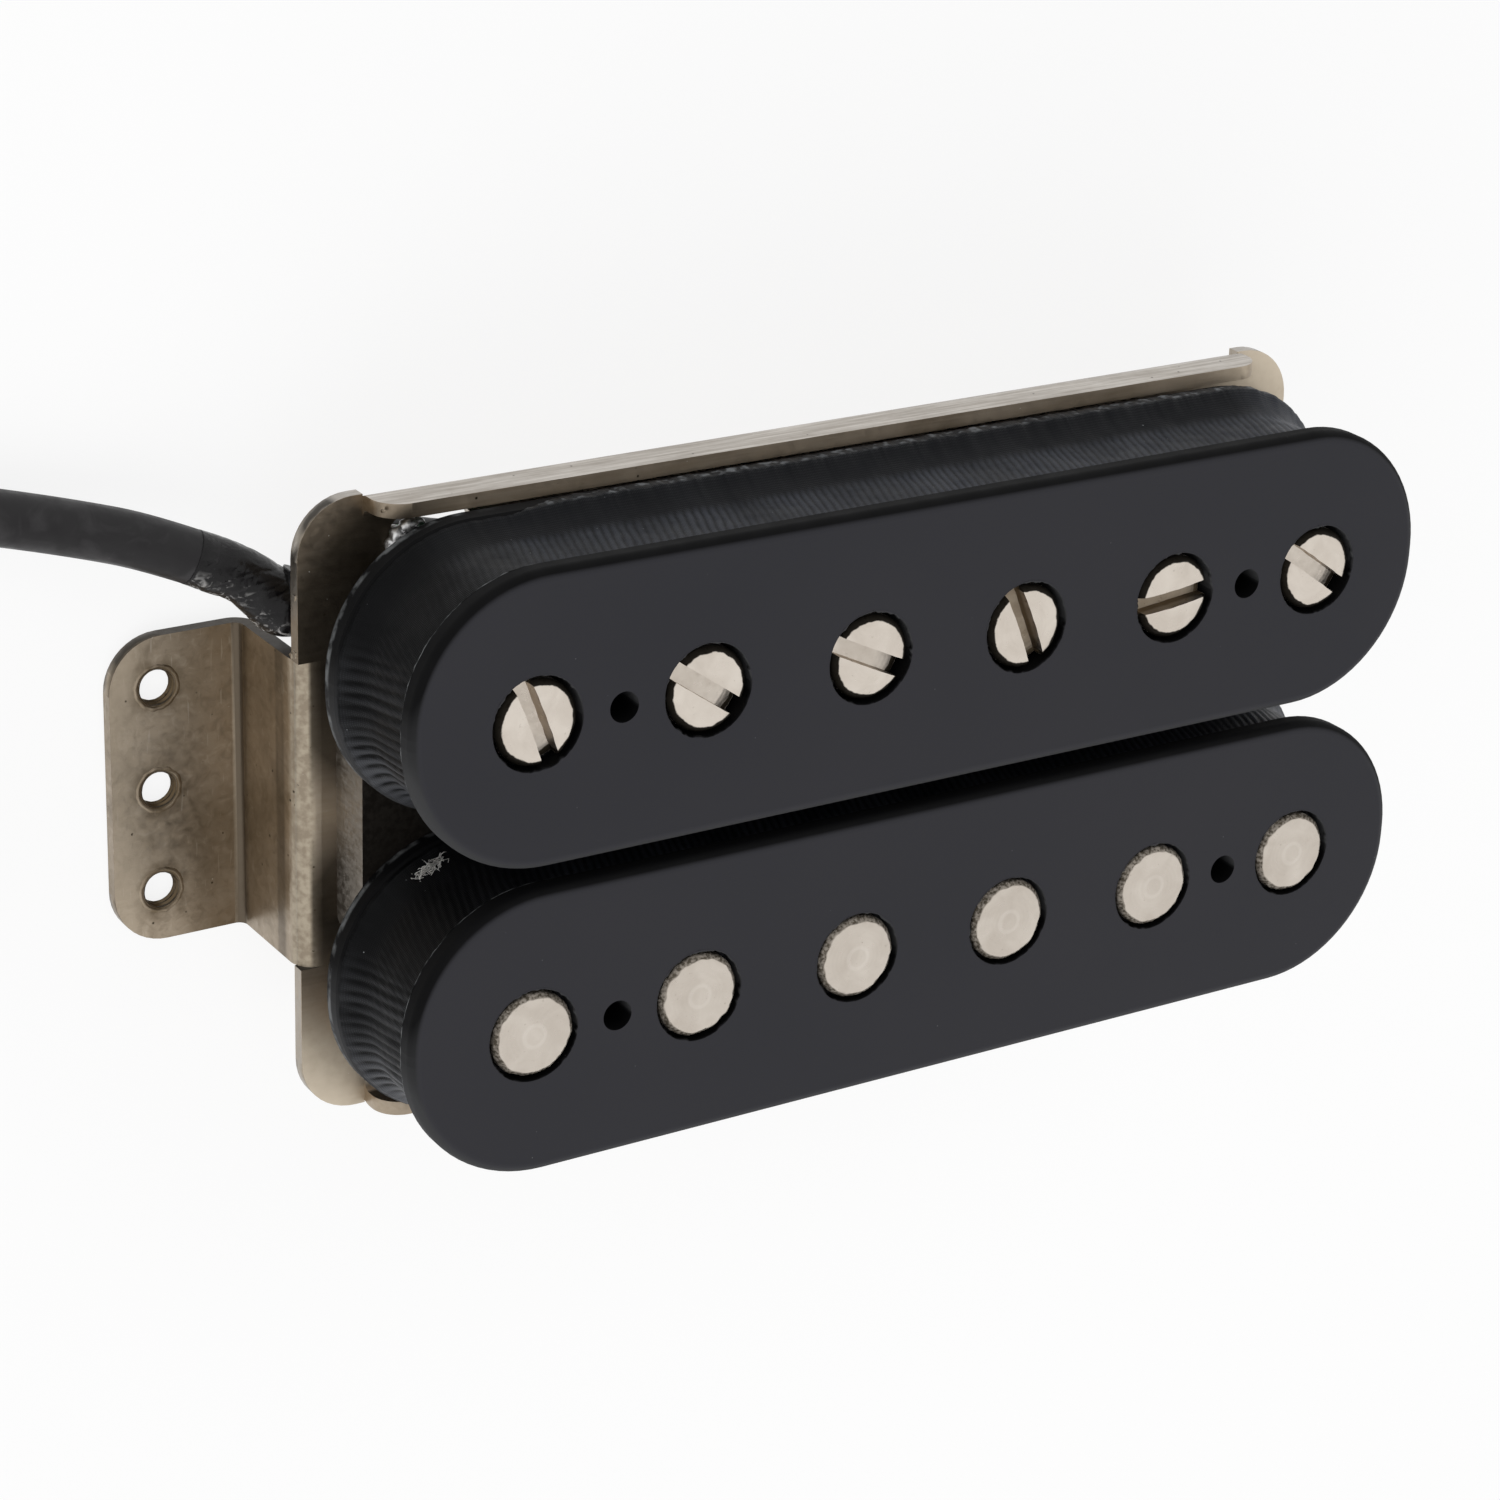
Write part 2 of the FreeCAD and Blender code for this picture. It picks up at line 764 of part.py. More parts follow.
def drain_wire():
    """Bare wire from the jacket's end, over the conductors and up to its solder."""
    start, heading, across, upward = jacket_frame()
    face = start + upward * drain_offset
    edge_x = opening_x - opening_length / 2 + drain_edge_gap
    edge_y = opening_y + opening_width / 2 - drain_back_gap
    points = [
        face,
        face + heading * conductor_run_out,
        vec(edge_x, edge_y, plate_bottom - drain_depth),
        vec(edge_x, edge_y, plate_top + solder_radius * solder_height_share),
    ]
    return wire_tube(points, drain_diameter, "drain_wire")


def shield_solder(drain):
    """Lumps of solder at the corner of the opening, run round the end of the drain wire."""
    left = opening_x - opening_length / 2
    back = opening_y + opening_width / 2
    height = plate_top + solder_radius * solder_height_share
    lumps = []
    for x_share, y_share in solder_place_shares:
        middle = vec(left + solder_radius * x_share, back + solder_radius * y_share, height)
        lumps.append(Part.makeSphere(solder_radius, middle))
    seat = block(
        (left - opening_length, back - plate_width, plate_top),
        (left + opening_length, back + plate_width, bobbin_bottom),
    )
    return join(lumps).common(seat).cut(drain)


def channel_y(name):
    """Y of a lead that lies on the plate in the channel beside the keeper bar."""
    return keeper_outer_y + channel_width * channel_shares[name]


def lead_end_points(name, side, level):
    """Last points of a lead: along the channel, up to its splice and into it."""
    splice_y, splice_z = splice_places()[(side, level)]
    splice_end = splice_start_x + splice_length
    rest = plate_top + lead_diameter / 2
    return [
        vec(splice_end + splice_run_in + lead_rise, channel_y(name), rest),
        vec(splice_end + splice_run_in, splice_y, splice_z),
        vec(splice_end, splice_y, splice_z),
    ]


def slug_lead(order, side, level, name):
    """Lead from the slug coil, past the magnet's end and along the channel to its splice."""
    rest = plate_top + lead_diameter / 2
    start_y = -row_y + (1 - 2 * order) * lead_notch_offset
    run_x = lead_x() + lead_shift + order * lead_step
    turn_y = channel_y(name)
    points = [
        vec(lead_x(), start_y, window_bottom),
        vec(lead_x(), start_y, rest + lead_step),
        vec(run_x, start_y + 2 * lead_bend, rest),
        vec(run_x, turn_y - lead_bend, rest),
        vec(run_x - lead_bend, turn_y, rest),
    ]
    return wire_tube(points + lead_end_points(name, side, level), lead_diameter, name)


def screw_lead(order, side, level, name):
    """Lead from the screw coil, over the slug coil's leads and along the channel."""
    rest = plate_top + lead_diameter / 2
    start_y = row_y - (1 - 2 * order) * lead_notch_offset
    height = rest + (order + 1) * (lead_diameter + lead_step / 2)
    turn_y = channel_y(name)
    points = [
        vec(lead_x(), start_y, window_bottom),
        vec(lead_x(), start_y, height),
        vec(lead_x(), turn_y - lead_bend, height),
        vec(lead_x() - lead_bend, turn_y, height),
        vec(lead_x() - lead_bend - lead_rise, turn_y, rest),
    ]
    return wire_tube(points + lead_end_points(name, side, level), lead_diameter, name)


def spiral(turned):
    """Place and direction of the coil's axis after it has turned by an angle in radians."""
    angle = math.pi / 2 + turned
    shrink = -coil_pitch / (2 * math.pi)
    radius = coil_start_radius + shrink * turned
    place = vec(
        coil_centre[0] + radius * math.cos(angle),
        coil_centre[1] + radius * math.sin(angle),
        cable_rest_height,
    )
    direction = vec(
        shrink * math.cos(angle) - radius * math.sin(angle),
        shrink * math.sin(angle) + radius * math.cos(angle),
        0,
    )
    return place, direction.normalize()


def biarc(start, start_way, finish, finish_way):
    """Two tangent arcs between two places with given directions."""
    chord = finish - start
    total = start_way + finish_way
    spread = 2 * (1 - start_way.dot(finish_way))
    reach = (math.sqrt(chord.dot(total) ** 2 + spread * chord.dot(chord)) - chord.dot(total)) / spread
    joint = (start + finish + (start_way - finish_way) * reach) * 0.5
    joint_way = (finish - finish_way * reach - start - start_way * reach).normalize()
    first = Part.Arc(start, arc_middle(start, start_way, joint), joint).toShape()
    second = Part.Arc(joint, arc_middle(joint, joint_way, finish), finish).toShape()
    return [first, second]


def coil_edges():
    """Axis of the coil: biarcs of a quarter turn on a spiral that winds inwards."""
    whole = 2 * math.pi * coil_turns
    spans = math.ceil(coil_turns * spans_per_turn)
    edges = []
    for index in range(spans):
        start, start_way = spiral(whole * index / spans)
        finish, finish_way = spiral(whole * (index + 1) / spans)
        edges += biarc(start, start_way, finish, finish_way)
    return edges


def print_least_gap(edges):
    """Least gap between turns of the coil, measured on points of its axis."""
    points = []
    for edge in edges:
        points += edge.discretize(places_per_span // 2)[:-1]
    apart = len(points) / (2 * coil_turns)
    least = min(
        (points[first] - points[second]).Length
        for first in range(len(points))
        for second in range(first)
        if first - second > apart
    )
    print("cable_coil least gap to itself", round(least - cable_diameter, 3))


def cable_coil():
    """The put-away length of cable, as a flat coil that winds inwards on the surface."""
    edges = coil_edges()
    print_least_gap(edges)
    return sweep(edges, cable_diameter, "cable_coil")


def output_cable():
    """Free cable from the sleeve's mouth to the start of the coil."""
    start, way = spiral(0)
    points = [vec(*point) for point in cable_route] + [start - way * coil_run_in, start]
    return wire_tube(points, cable_diameter, "output_cable")


def cable_tie():
    """Band round all the turns of the coil at one side."""
    quarter = math.pi / 2
    at_tie = (math.radians(tie_angle) - quarter) % (2 * math.pi)
    radii = []
    while at_tie < 2 * math.pi * coil_turns:
        radii.append(coil_start_radius - coil_pitch * at_tie / (2 * math.pi))
        at_tie += 2 * math.pi
    low_x = min(radii) - cable_radius - tie_end_clearance
    high_x = max(radii) + cable_radius + tie_end_clearance
    high_z = tie_thickness + cable_diameter + 2 * tie_clearance

    def loop(grow):
        corners = [
            (low_x - grow, tie_thickness - grow),
            (high_x + grow, tie_thickness - grow),
            (high_x + grow, high_z + grow),
            (low_x - grow, high_z + grow),
        ]
        radius = tie_corner_radius + grow
        face = Part.Face(bend_section(corners, [radius] * len(corners)))
        return face.extrude(vec(0, tie_width, 0))

    band = loop(tie_thickness).cut(loop(0))
    band.translate(vec(0, -tie_width / 2, 0))
    band.rotate(vec(0, 0, 0), vec(0, 0, 1), tie_angle)
    band.translate(vec(coil_centre[0], coil_centre[1], 0))
    return band


def stripped_wire(start_side, start_up, end_side, diameter, turn_share, name):
    """Wire from the jacket's far end, fanned out on the surface inside the coil."""
    place, way = spiral(2 * math.pi * coil_turns)
    left = vec(-way.y, way.x, 0)
    whole = stripped_length / stripped_bend_radius * turn_share
    bend_centre = place + way * stripped_run_out + left * stripped_bend_radius
    face = place + left * start_side + vec(0, 0, start_up)
    points = [face, face + way * stripped_run_out]
    for step, (fan, drop) in enumerate(fan_shares, 1):
        turned = whole * step / len(fan_shares)
        outward = (way * math.sin(turned) - left * math.cos(turned)).normalize()
        side = start_side + (end_side - start_side) * fan
        flat = bend_centre + outward * (stripped_bend_radius - side)
        height = face.z + (diameter / 2 - face.z) * drop
        points.append(vec(flat.x, flat.y, height))
    return wire_tube(points, diameter, name)


def main():
    save(baseplate(), "baseplate")
    save(screw_bobbin(), "screw_bobbin")
    save(slug_bobbin(), "slug_bobbin")
    save(winding(row_y), "screw_coil")
    save(winding(-row_y), "slug_coil")
    save(winding_tape(row_y), "screw_coil_tape")
    save(winding_tape(-row_y), "slug_coil_tape")
    save(bar_magnet(), "bar_magnet")
    save(keeper_bar(), "keeper_bar")
    save(spacer_strip(), "spacer_strip")
    for index, x in enumerate(pole_positions):
        save(pole_screw(x, slot_angles[index]), "pole_screw_" + str(index + 1))
        save(pole_slug(x), "pole_slug_" + str(index + 1))
    save(holding_screws(), "holding_screws")
    save(splice_sleeves(), "splice_sleeves")
    save(cable_sleeve(), "cable_sleeve")
    save(wire_tube(sleeve_route, cable_diameter, "jacket_end"), "jacket_end")
    for name, (side, level) in conductor_places.items():
        save(inner_conductor(side, level, name), name)
    drain = drain_wire()
    save(drain, "drain_wire")
    save(shield_solder(drain), "shield_solder")
    save(screw_lead(0, 0, 1, "screw_coil_start_lead"), "screw_coil_start_lead")
    save(screw_lead(1, 0, 0, "screw_coil_finish_lead"), "screw_coil_finish_lead")
    save(slug_lead(0, 1, 0, "slug_coil_start_lead"), "slug_coil_start_lead")
    save(slug_lead(1, 1, 1, "slug_coil_finish_lead"), "slug_coil_finish_lead")
    save(output_cable(), "output_cable")
    save(cable_coil(), "cable_coil")
    save(cable_tie(), "cable_tie")
    half = conductor_spacing / 2
    for name, (side, up, fan_share, turn_share) in far_end_shares.items():
        end_side = fan_share * cable_diameter
        diameter = conductor_diameter
        save(stripped_wire(side * half, up * half, end_side, diameter, turn_share, name), name)
    drain_side = far_drain_share * cable_diameter
    name = "far_drain_wire"
    save(stripped_wire(0, -drain_offset, drain_side, drain_diameter, 1, name), name)


main()
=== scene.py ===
import bmesh
import bpy
import json
from math import atan2, cos, degrees, pi, radians, sin
from mathutils import Matrix, Vector, noise


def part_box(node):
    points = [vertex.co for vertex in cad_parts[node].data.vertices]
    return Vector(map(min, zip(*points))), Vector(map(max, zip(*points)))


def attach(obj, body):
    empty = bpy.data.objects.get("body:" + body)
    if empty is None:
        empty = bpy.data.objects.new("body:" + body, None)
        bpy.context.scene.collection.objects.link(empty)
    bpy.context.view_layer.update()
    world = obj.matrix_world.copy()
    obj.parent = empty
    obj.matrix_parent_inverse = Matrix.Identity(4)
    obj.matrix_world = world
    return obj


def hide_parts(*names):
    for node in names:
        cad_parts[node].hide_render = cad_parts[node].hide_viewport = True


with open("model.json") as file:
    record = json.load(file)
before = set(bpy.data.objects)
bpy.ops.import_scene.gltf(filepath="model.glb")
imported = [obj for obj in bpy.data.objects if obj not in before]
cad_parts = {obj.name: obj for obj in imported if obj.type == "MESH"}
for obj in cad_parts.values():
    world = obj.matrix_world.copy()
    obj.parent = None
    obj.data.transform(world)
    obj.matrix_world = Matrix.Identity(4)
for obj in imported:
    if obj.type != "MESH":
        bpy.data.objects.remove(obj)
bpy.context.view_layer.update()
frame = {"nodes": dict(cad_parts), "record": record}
nodes = frame["nodes"]

# Lengths in this script are millimetres. One factor turns them into Blender's metres.
MM = 0.001

# Camera: where it stands, what it looks at, how far it is rolled, and its lens on the sensor
CAMERA_PLACE = (-118.17, 86.35, 185.6)
CAMERA_AIM = (-12.366, 4.885, 20.5)
CAMERA_ROLL = -122.96
CAMERA_LENS = 98.06
CAMERA_RANGE = (10, 4000)
SENSOR_WIDTH = 36.0

# Light: each lamp's place, size and power, what all of them face, and the white surroundings
LAMPS = {
    "key": ((-210, -560, 665), 900, 3.7),
    "fill": ((-700, -380, 230), 800, 3.0),
    "back": ((420, 560, 450), 800, 1.5),
}
LAMP_AIM = (0, 0, 10)
WORLD_STRENGTH = 0.5
FLOOR_SIZE = 3000
FLOOR_COLOUR = (0.93, 0.93, 0.93, 1)
FLOOR_GLOW = 0.85

# Baseplate: its -X end, the top and the middle of its sheet, and the tapped holes of its feet
PLATE_END = -32.15
PLATE_TOP = 7.9
PLATE_MIDDLE = 7.5
PLATE_EDGE = 0.08
FOOT_TOP = 0.8
HOLE_X = 36.95
HOLE_PITCH = 5.85
HOLE_RADIUS = 1.05
TAP_PITCH = 0.36
TAP_DEPTH = 0.13
HOLE_ROWS = 36
HOLE_SEGMENTS = 64
HOLE_LIPS = [(0.3, -0.01), (0.2, 0.025), (0.1, 0.03), (0.02, 0.0)]

# Crumbs on the sheared edges and lumps of solder: place and radius of each
BURRS = [
    (-32.1, 9.2, 7.5, 0.24), (-32.12, 9.0, 7.1, 0.18), (-32.12, 12.35, 7.55, 0.2),
    (-32.05, 12.6, 7.25, 0.14), (-32.02, -9.1, 7.45, 0.2), (32.05, 9.1, 7.5, 0.2),
    (32.02, -9.3, 7.4, 0.18), (-28.25, 17.2, 9.9, 0.16),
]
SOLDER_LUMPS = [
    (-26.85, 14.05, 8.0, 0.34), (-26.75, 14.55, 8.15, 0.5), (-26.45, 15.05, 8.25, 0.6),
    (-25.95, 15.4, 8.3, 0.6), (-25.45, 15.5, 8.2, 0.45),
]

# Cable: the route of part.py with X from the plate's -X end, then the coil that it runs into
CABLE_DIAMETER = 3.0
CABLE_PLACES = [
    (-3.05, 13.55, 3.8), (-6.13, 14.925, 3.03), (-9.45, 15.9, 2.35),
    (-13.25, 16.95, 1.95), (-18.45, 18.35, 1.8), (-24.25, 19.75, 1.8),
]
COIL_CENTRE = (PLATE_END - 36.85, 0.0)
COIL_START_RADIUS = 20.4
COIL_PITCH = 3.45
COIL_TURNS = 2.4
COIL_RUN_IN = 6.5
COIL_HEIGHT = 1.8
COIL_POINTS_PER_TURN = 24

# Boot: places on the axis of the shrunk sleeve, with X from the plate's -X end, and its radius
BOOT_PLACES = [
    (-3.95, 13.95, 3.62), (-3.05, 13.55, 3.8), (-1.35, 12.75, 4.1), (-0.05, 11.55, 4.42),
    (0.75, 10.75, 4.75), (1.5, 11.1, 4.9), (2.15, 12.15, 4.95),
]
BOOT_RADII = (1.475, 1.5, 1.5, 1.58, 1.7, 1.67, 1.55)
BOOT_SEGMENTS = 128
BOOT_LIP = 12
STUB_RADIUS = 1.46

# Wires: the routes of part.py
WIRE_RADIUS = 0.5
DRAIN_RADIUS = 0.2
LEAD_RADIUS = 0.25
STRAND_RADIUS = 0.3
COVERED_SHARE = 0.8
INNER_WIRES = {
    "red": [
        (-29.93, 11.59, 4.41), (-28.85, 11.53, 4.61), (-25.9, 13.22, 4.05),
        (-22.48, 13.1, 8.62), (-20, 13.1, 8.62),
    ],
    "white": [
        (-30.14, 11.61, 5.49), (-29.06, 11.54, 5.69), (-27, 13.22, 5.15),
        (-23.02, 13.1, 10.12), (-20, 13.1, 10.12),
    ],
    "black": [
        (-29.86, 12.69, 4.41), (-29.18, 12.65, 4.54), (-26.3, 14.57, 4.05),
        (-22.48, 14.7, 8.62), (-20, 14.7, 8.62),
    ],
    "green": [
        (-30.07, 12.71, 5.49), (-29.38, 12.66, 5.62), (-27.4, 14.57, 5.15),
        (-23.02, 14.7, 10.12), (-20, 14.7, 10.12),
    ],
}
INNER_DRAIN = [
    (-30.22, 12.16, 6.13), (-29.34, 12.11, 6.3), (-26.5, 15.35, 6.75), (-26.5, 15.35, 8.25),
]
COIL_LEADS = {
    "screw_coil_start_lead": [
        (30.4, 7.5, 12.1), (30.4, 7.5, 8.95), (30.4, 10.6, 8.95), (29, 12, 8.95),
        (25, 12, 8.15), (-6.6, 12, 8.15), (-10.6, 13.1, 10.12), (-12, 13.1, 10.12),
    ],
    "screw_coil_finish_lead": [
        (30.4, 9.9, 12.1), (30.4, 9.9, 9.75), (30.4, 11.38, 9.75), (29, 12.78, 9.75),
        (25, 12.78, 8.15), (-6.6, 12.78, 8.15), (-10.6, 13.1, 8.62), (-12, 13.1, 8.62),
    ],
    "slug_coil_start_lead": [
        (30.4, -7.5, 12.1), (30.4, -7.5, 8.75), (30.6, -4.7, 8.15), (30.6, 13, 8.15),
        (29.2, 14.4, 8.15), (-6.6, 14.4, 8.15), (-10.6, 14.7, 8.62), (-12, 14.7, 8.62),
    ],
    "slug_coil_finish_lead": [
        (30.4, -9.9, 12.1), (30.4, -9.9, 8.75), (31.2, -7.1, 8.15), (31.2, 13.79, 8.15),
        (29.8, 15.19, 8.15), (-6.6, 15.19, 8.15), (-10.6, 14.7, 10.12), (-12, 14.7, 10.12),
    ],
}
FAR_WIRES = {
    "red": [
        (-76.43, -10.26, 1.25), (-75.43, -10.93, 1.25), (-70.32, -11.83, 1.18),
        (-66.03, -9.27, 0.88), (-64.27, -4.7, 0.5), (-65.93, -0.1, 0.5),
    ],
    "white": [
        (-76.43, -10.26, 2.35), (-75.43, -10.93, 2.35), (-70.8, -12.44, 2.17),
        (-66.03, -10.81, 1.43), (-63.36, -6.43, 0.5), (-63.86, -1.33, 0.5),
    ],
    "black": [
        (-75.82, -9.35, 1.25), (-74.82, -10.01, 1.25), (-70.62, -10.46, 1.18),
        (-67.46, -8.3, 0.88), (-65.99, -5.02, 0.5), (-66.96, -1.56, 0.5),
    ],
    "green": [
        (-75.82, -9.35, 2.35), (-74.82, -10.01, 2.35), (-70.77, -9.87, 2.17),
        (-68.41, -7.55, 1.43), (-67.21, -5.1, 0.5), (-67.8, -2.45, 0.5),
    ],
}
FAR_DRAIN = [
    (-76.12, -9.81, 0.6), (-75.12, -10.47, 0.6), (-70.41, -11.15, 0.56),
    (-66.66, -8.71, 0.4), (-65.11, -4.69, 0.2), (-66.57, -0.64, 0.2),
]
SPLICE_RADIUS = 0.725
SPLICE_STEPS = 48
SPLICE_SEGMENTS = 28
TIE_SKIN = 0.25
TIE_CORNER = 1.45
TIE_STEP = 0.25
TIE_ROWS = 16

# Bobbins
BOBBIN_TOP = 20.5
BOBBIN_FOOT = 11.1
HALF_LENGTH = 32.1
HALF_WIDTH = 8.1
END_FLAT = 0.6
RIM_HEIGHT = 19.1
MOUTH_RADIUS = 2.625
MOUTH_SEGMENTS = 150
FLASH_STEP = 0.15

# Coil tape
TAPE_STEP = 0.11
TAPE_ROWS = 46
TAPE_SKIN = 0.22
TAPE_THICKNESS = 0.35
TAPE_OVERLAP = 0.09
TAPE_INSET = 0.85
TAPE_WRAP = 0.75
TAPE_SLOPE = 0.32
RIB_PITCH = 0.46
RIB_LEAN = 2.4
PLEAT_PITCH = 0.62
PLEAT_LEAN = 1.2
FLAP_STEP = 0.12
FLAP_ANGLE = 60

# Poles
POLE_COUNT = 6
POLE_PITCH = 10.0
POLE_SEGMENTS = 96
POLE_SMOOTH_ANGLE = 32
ROW_Y = 8.7
SLOT_ANGLES = (110.9, 145.0, 154.3, 112.3, 6.1, 144.3)
POLE_TOP = 20.6
HEAD_RADIUS = 2.35
FACE_RADIUS = 2.08
HEAD_HEIGHT = 2.4
CROWN = 0.3
SHANK_RADIUS = 1.55
SHANK_ROWS = 230
SHANK_SEGMENTS = 40
THREAD_DEPTH = 0.26
THREAD_PITCH = 0.635
SCREW_TIP = 1.6
SLOT_WIDTH = 1.0
SLOT_DEPTH = 1.1
SLOT_STEPS = 24
SLUG_RADIUS = 2.38
SLUG_CHAMFER = 0.35
SLUG_FACE = SLUG_RADIUS - SLUG_CHAMFER

# Tuft of lint on the edge of the slug coil's tape
LINT_PLACE = (-27.25, -2.05, 12.75)
LINT_FIBRES = 110
LINT_RADIUS = 0.018


def metres(point):
    """A place in millimetres as a vector in metres."""
    return Vector(point) * MM


def pole_x(index):
    """Place of a pole along its row."""
    return (index - (POLE_COUNT - 1) / 2) * POLE_PITCH


def unit(value):
    """A value kept between nothing and one."""
    return max(0.0, min(1.0, value))


def rough(*place):
    """Noise at a place."""
    return noise.noise(Vector(place))


def spaced(low, high, count):
    """Values from low to high in a count of equal steps."""
    return [low + (high - low) * step / count for step in range(count + 1)]


def angles(count):
    """Angles of points spread evenly round a circle."""
    return [2 * pi * step / count for step in range(count)]


def polar(centre, radius, angle):
    """A place on a circle."""
    return centre[0] + radius * cos(angle), centre[1] + radius * sin(angle)


# Shader recipes: their limits are places, parts of the surface's direction, or levels of noise


class Field:
    """A value that varies over a surface: one output of a new node, with arithmetic."""

    def __init__(self, tree, kind, inputs=(), output=0, **settings):
        node = tree.nodes.new(kind)
        for key, value in settings.items():
            setattr(node, key, value)
        for key, value in dict(inputs).items():
            if isinstance(value, Field):
                tree.links.new(value.socket, node.inputs[key])
            else:
                node.inputs[key].default_value = value
        self.tree = tree
        self.socket = node.outputs[output]

    def math(self, kind, other=0.0):
        """One step of arithmetic with another value."""
        return Field(self.tree, "ShaderNodeMath", {0: self, 1: other}, operation=kind)

    def __add__(self, other):
        return self.math("ADD", other)

    def __sub__(self, other):
        return self.math("SUBTRACT", other)

    def __rsub__(self, other):
        return Field(self.tree, "ShaderNodeMath", {0: other, 1: self}, operation="SUBTRACT")

    def __mul__(self, other):
        return self.math("MULTIPLY", other)

    def __abs__(self):
        return self.math("ABSOLUTE")

    def most(self, other):
        """The larger of two values."""
        return self.math("MAXIMUM", other)

    def rise(self, low, high, start=0.0, end=1.0):
        """From start at low to end at high, and level beyond them."""
        return Field(self.tree, "ShaderNodeMapRange", {0: self, 1: low, 2: high, 3: start, 4: end})

    def fall(self, low, high):
        """From one at low to nothing at high."""
        return self.rise(low, high, 1.0, 0.0)


def diagonal(first, second):
    """Length of the diagonal of two lengths."""
    return (first * first + second * second).math("SQRT")


MATERIALS = {}


class Recipe:
    """One finish: a Principled shader, with the colour and the relief made for it so far."""

    def __init__(self, name, **constants):
        self.name = name
        self.material = bpy.data.materials.new(name)
        self.material.use_nodes = True
        self.tree = self.material.node_tree
        self.surface = self.tree.nodes["Principled BSDF"]
        self.relief = {}
        for socket, value in constants.items():
            self.surface.inputs[socket.replace("_", " ")].default_value = value

    def place(self, scale=(1, 1, 1), source="Object"):
        """Coordinates in millimetres, stretched by a scale."""
        factor = 1 / MM if source == "Object" else 1
        found = Field(self.tree, "ShaderNodeTexCoord", output=source)
        sizes = [factor * each for each in scale]
        return Field(self.tree, "ShaderNodeMapping", {0: found, 3: sizes})

    def axes(self, vector):
        """The three parts of a vector."""
        return [Field(self.tree, "ShaderNodeSeparateXYZ", {0: vector}, axis) for axis in range(3)]

    def normal(self):
        """The three parts of the surface's direction."""
        return self.axes(Field(self.tree, "ShaderNodeNewGeometry", output="Normal"))

    def noise(self, scale, detail, stretch=(1, 1, 1), warp=0.0):
        """Noise with a scale in features per millimetre."""
        inputs = {"Vector": self.place(stretch), "Scale": scale, "Detail": detail}
        return Field(self.tree, "ShaderNodeTexNoise", {**inputs, "Distortion": warp})

    def wave(self, scale, direction, warp=0.0, source="Object"):
        """Bands across one direction."""
        inputs = {"Vector": self.place(source=source), "Scale": scale, "Distortion": warp}
        return Field(self.tree, "ShaderNodeTexWave", inputs, 1, bands_direction=direction)

    def specks(self, scale, size, scatter, share):
        """Small scattered specks: their count, their size, and how few of them show."""
        spots = Field(self.tree, "ShaderNodeTexVoronoi", {"Vector": self.place(), "Scale": scale})
        return spots.fall(size / 2, size) * self.noise(scatter, 1).rise(share, share + 0.04)

    def mix(self, factor, first, second):
        """Colour between two colours."""
        inputs = {0: factor}
        for key, value in ((6, first), (7, second)):
            inputs[key] = value if isinstance(value, Field) else (*value, 1)
        return Field(self.tree, "ShaderNodeMix", inputs, 2, data_type="RGBA")

    def paint(self, factor, colour):
        """Lay a colour over the one made so far."""
        self.colour = self.mix(factor, self.colour, colour)

    def bump(self, height, distance, strength):
        """Lay a relief of a depth in millimetres over the one made so far."""
        inputs = {"Height": height, "Distance": distance * MM, "Strength": strength, **self.relief}
        self.relief = {"Normal": Field(self.tree, "ShaderNodeBump", inputs)}

    def feed(self, **fields):
        """Link fields to the shader's inputs."""
        for socket, value in fields.items():
            self.tree.links.new(value.socket, self.surface.inputs[socket.replace("_", " ")])

    def finish(self, roughness, slot=None):
        """Feed the shader, and keep the material by the name of its slot in the record."""
        self.feed(Base_Color=self.colour, Roughness=roughness, **self.relief)
        MATERIALS[slot or self.name] = self.material


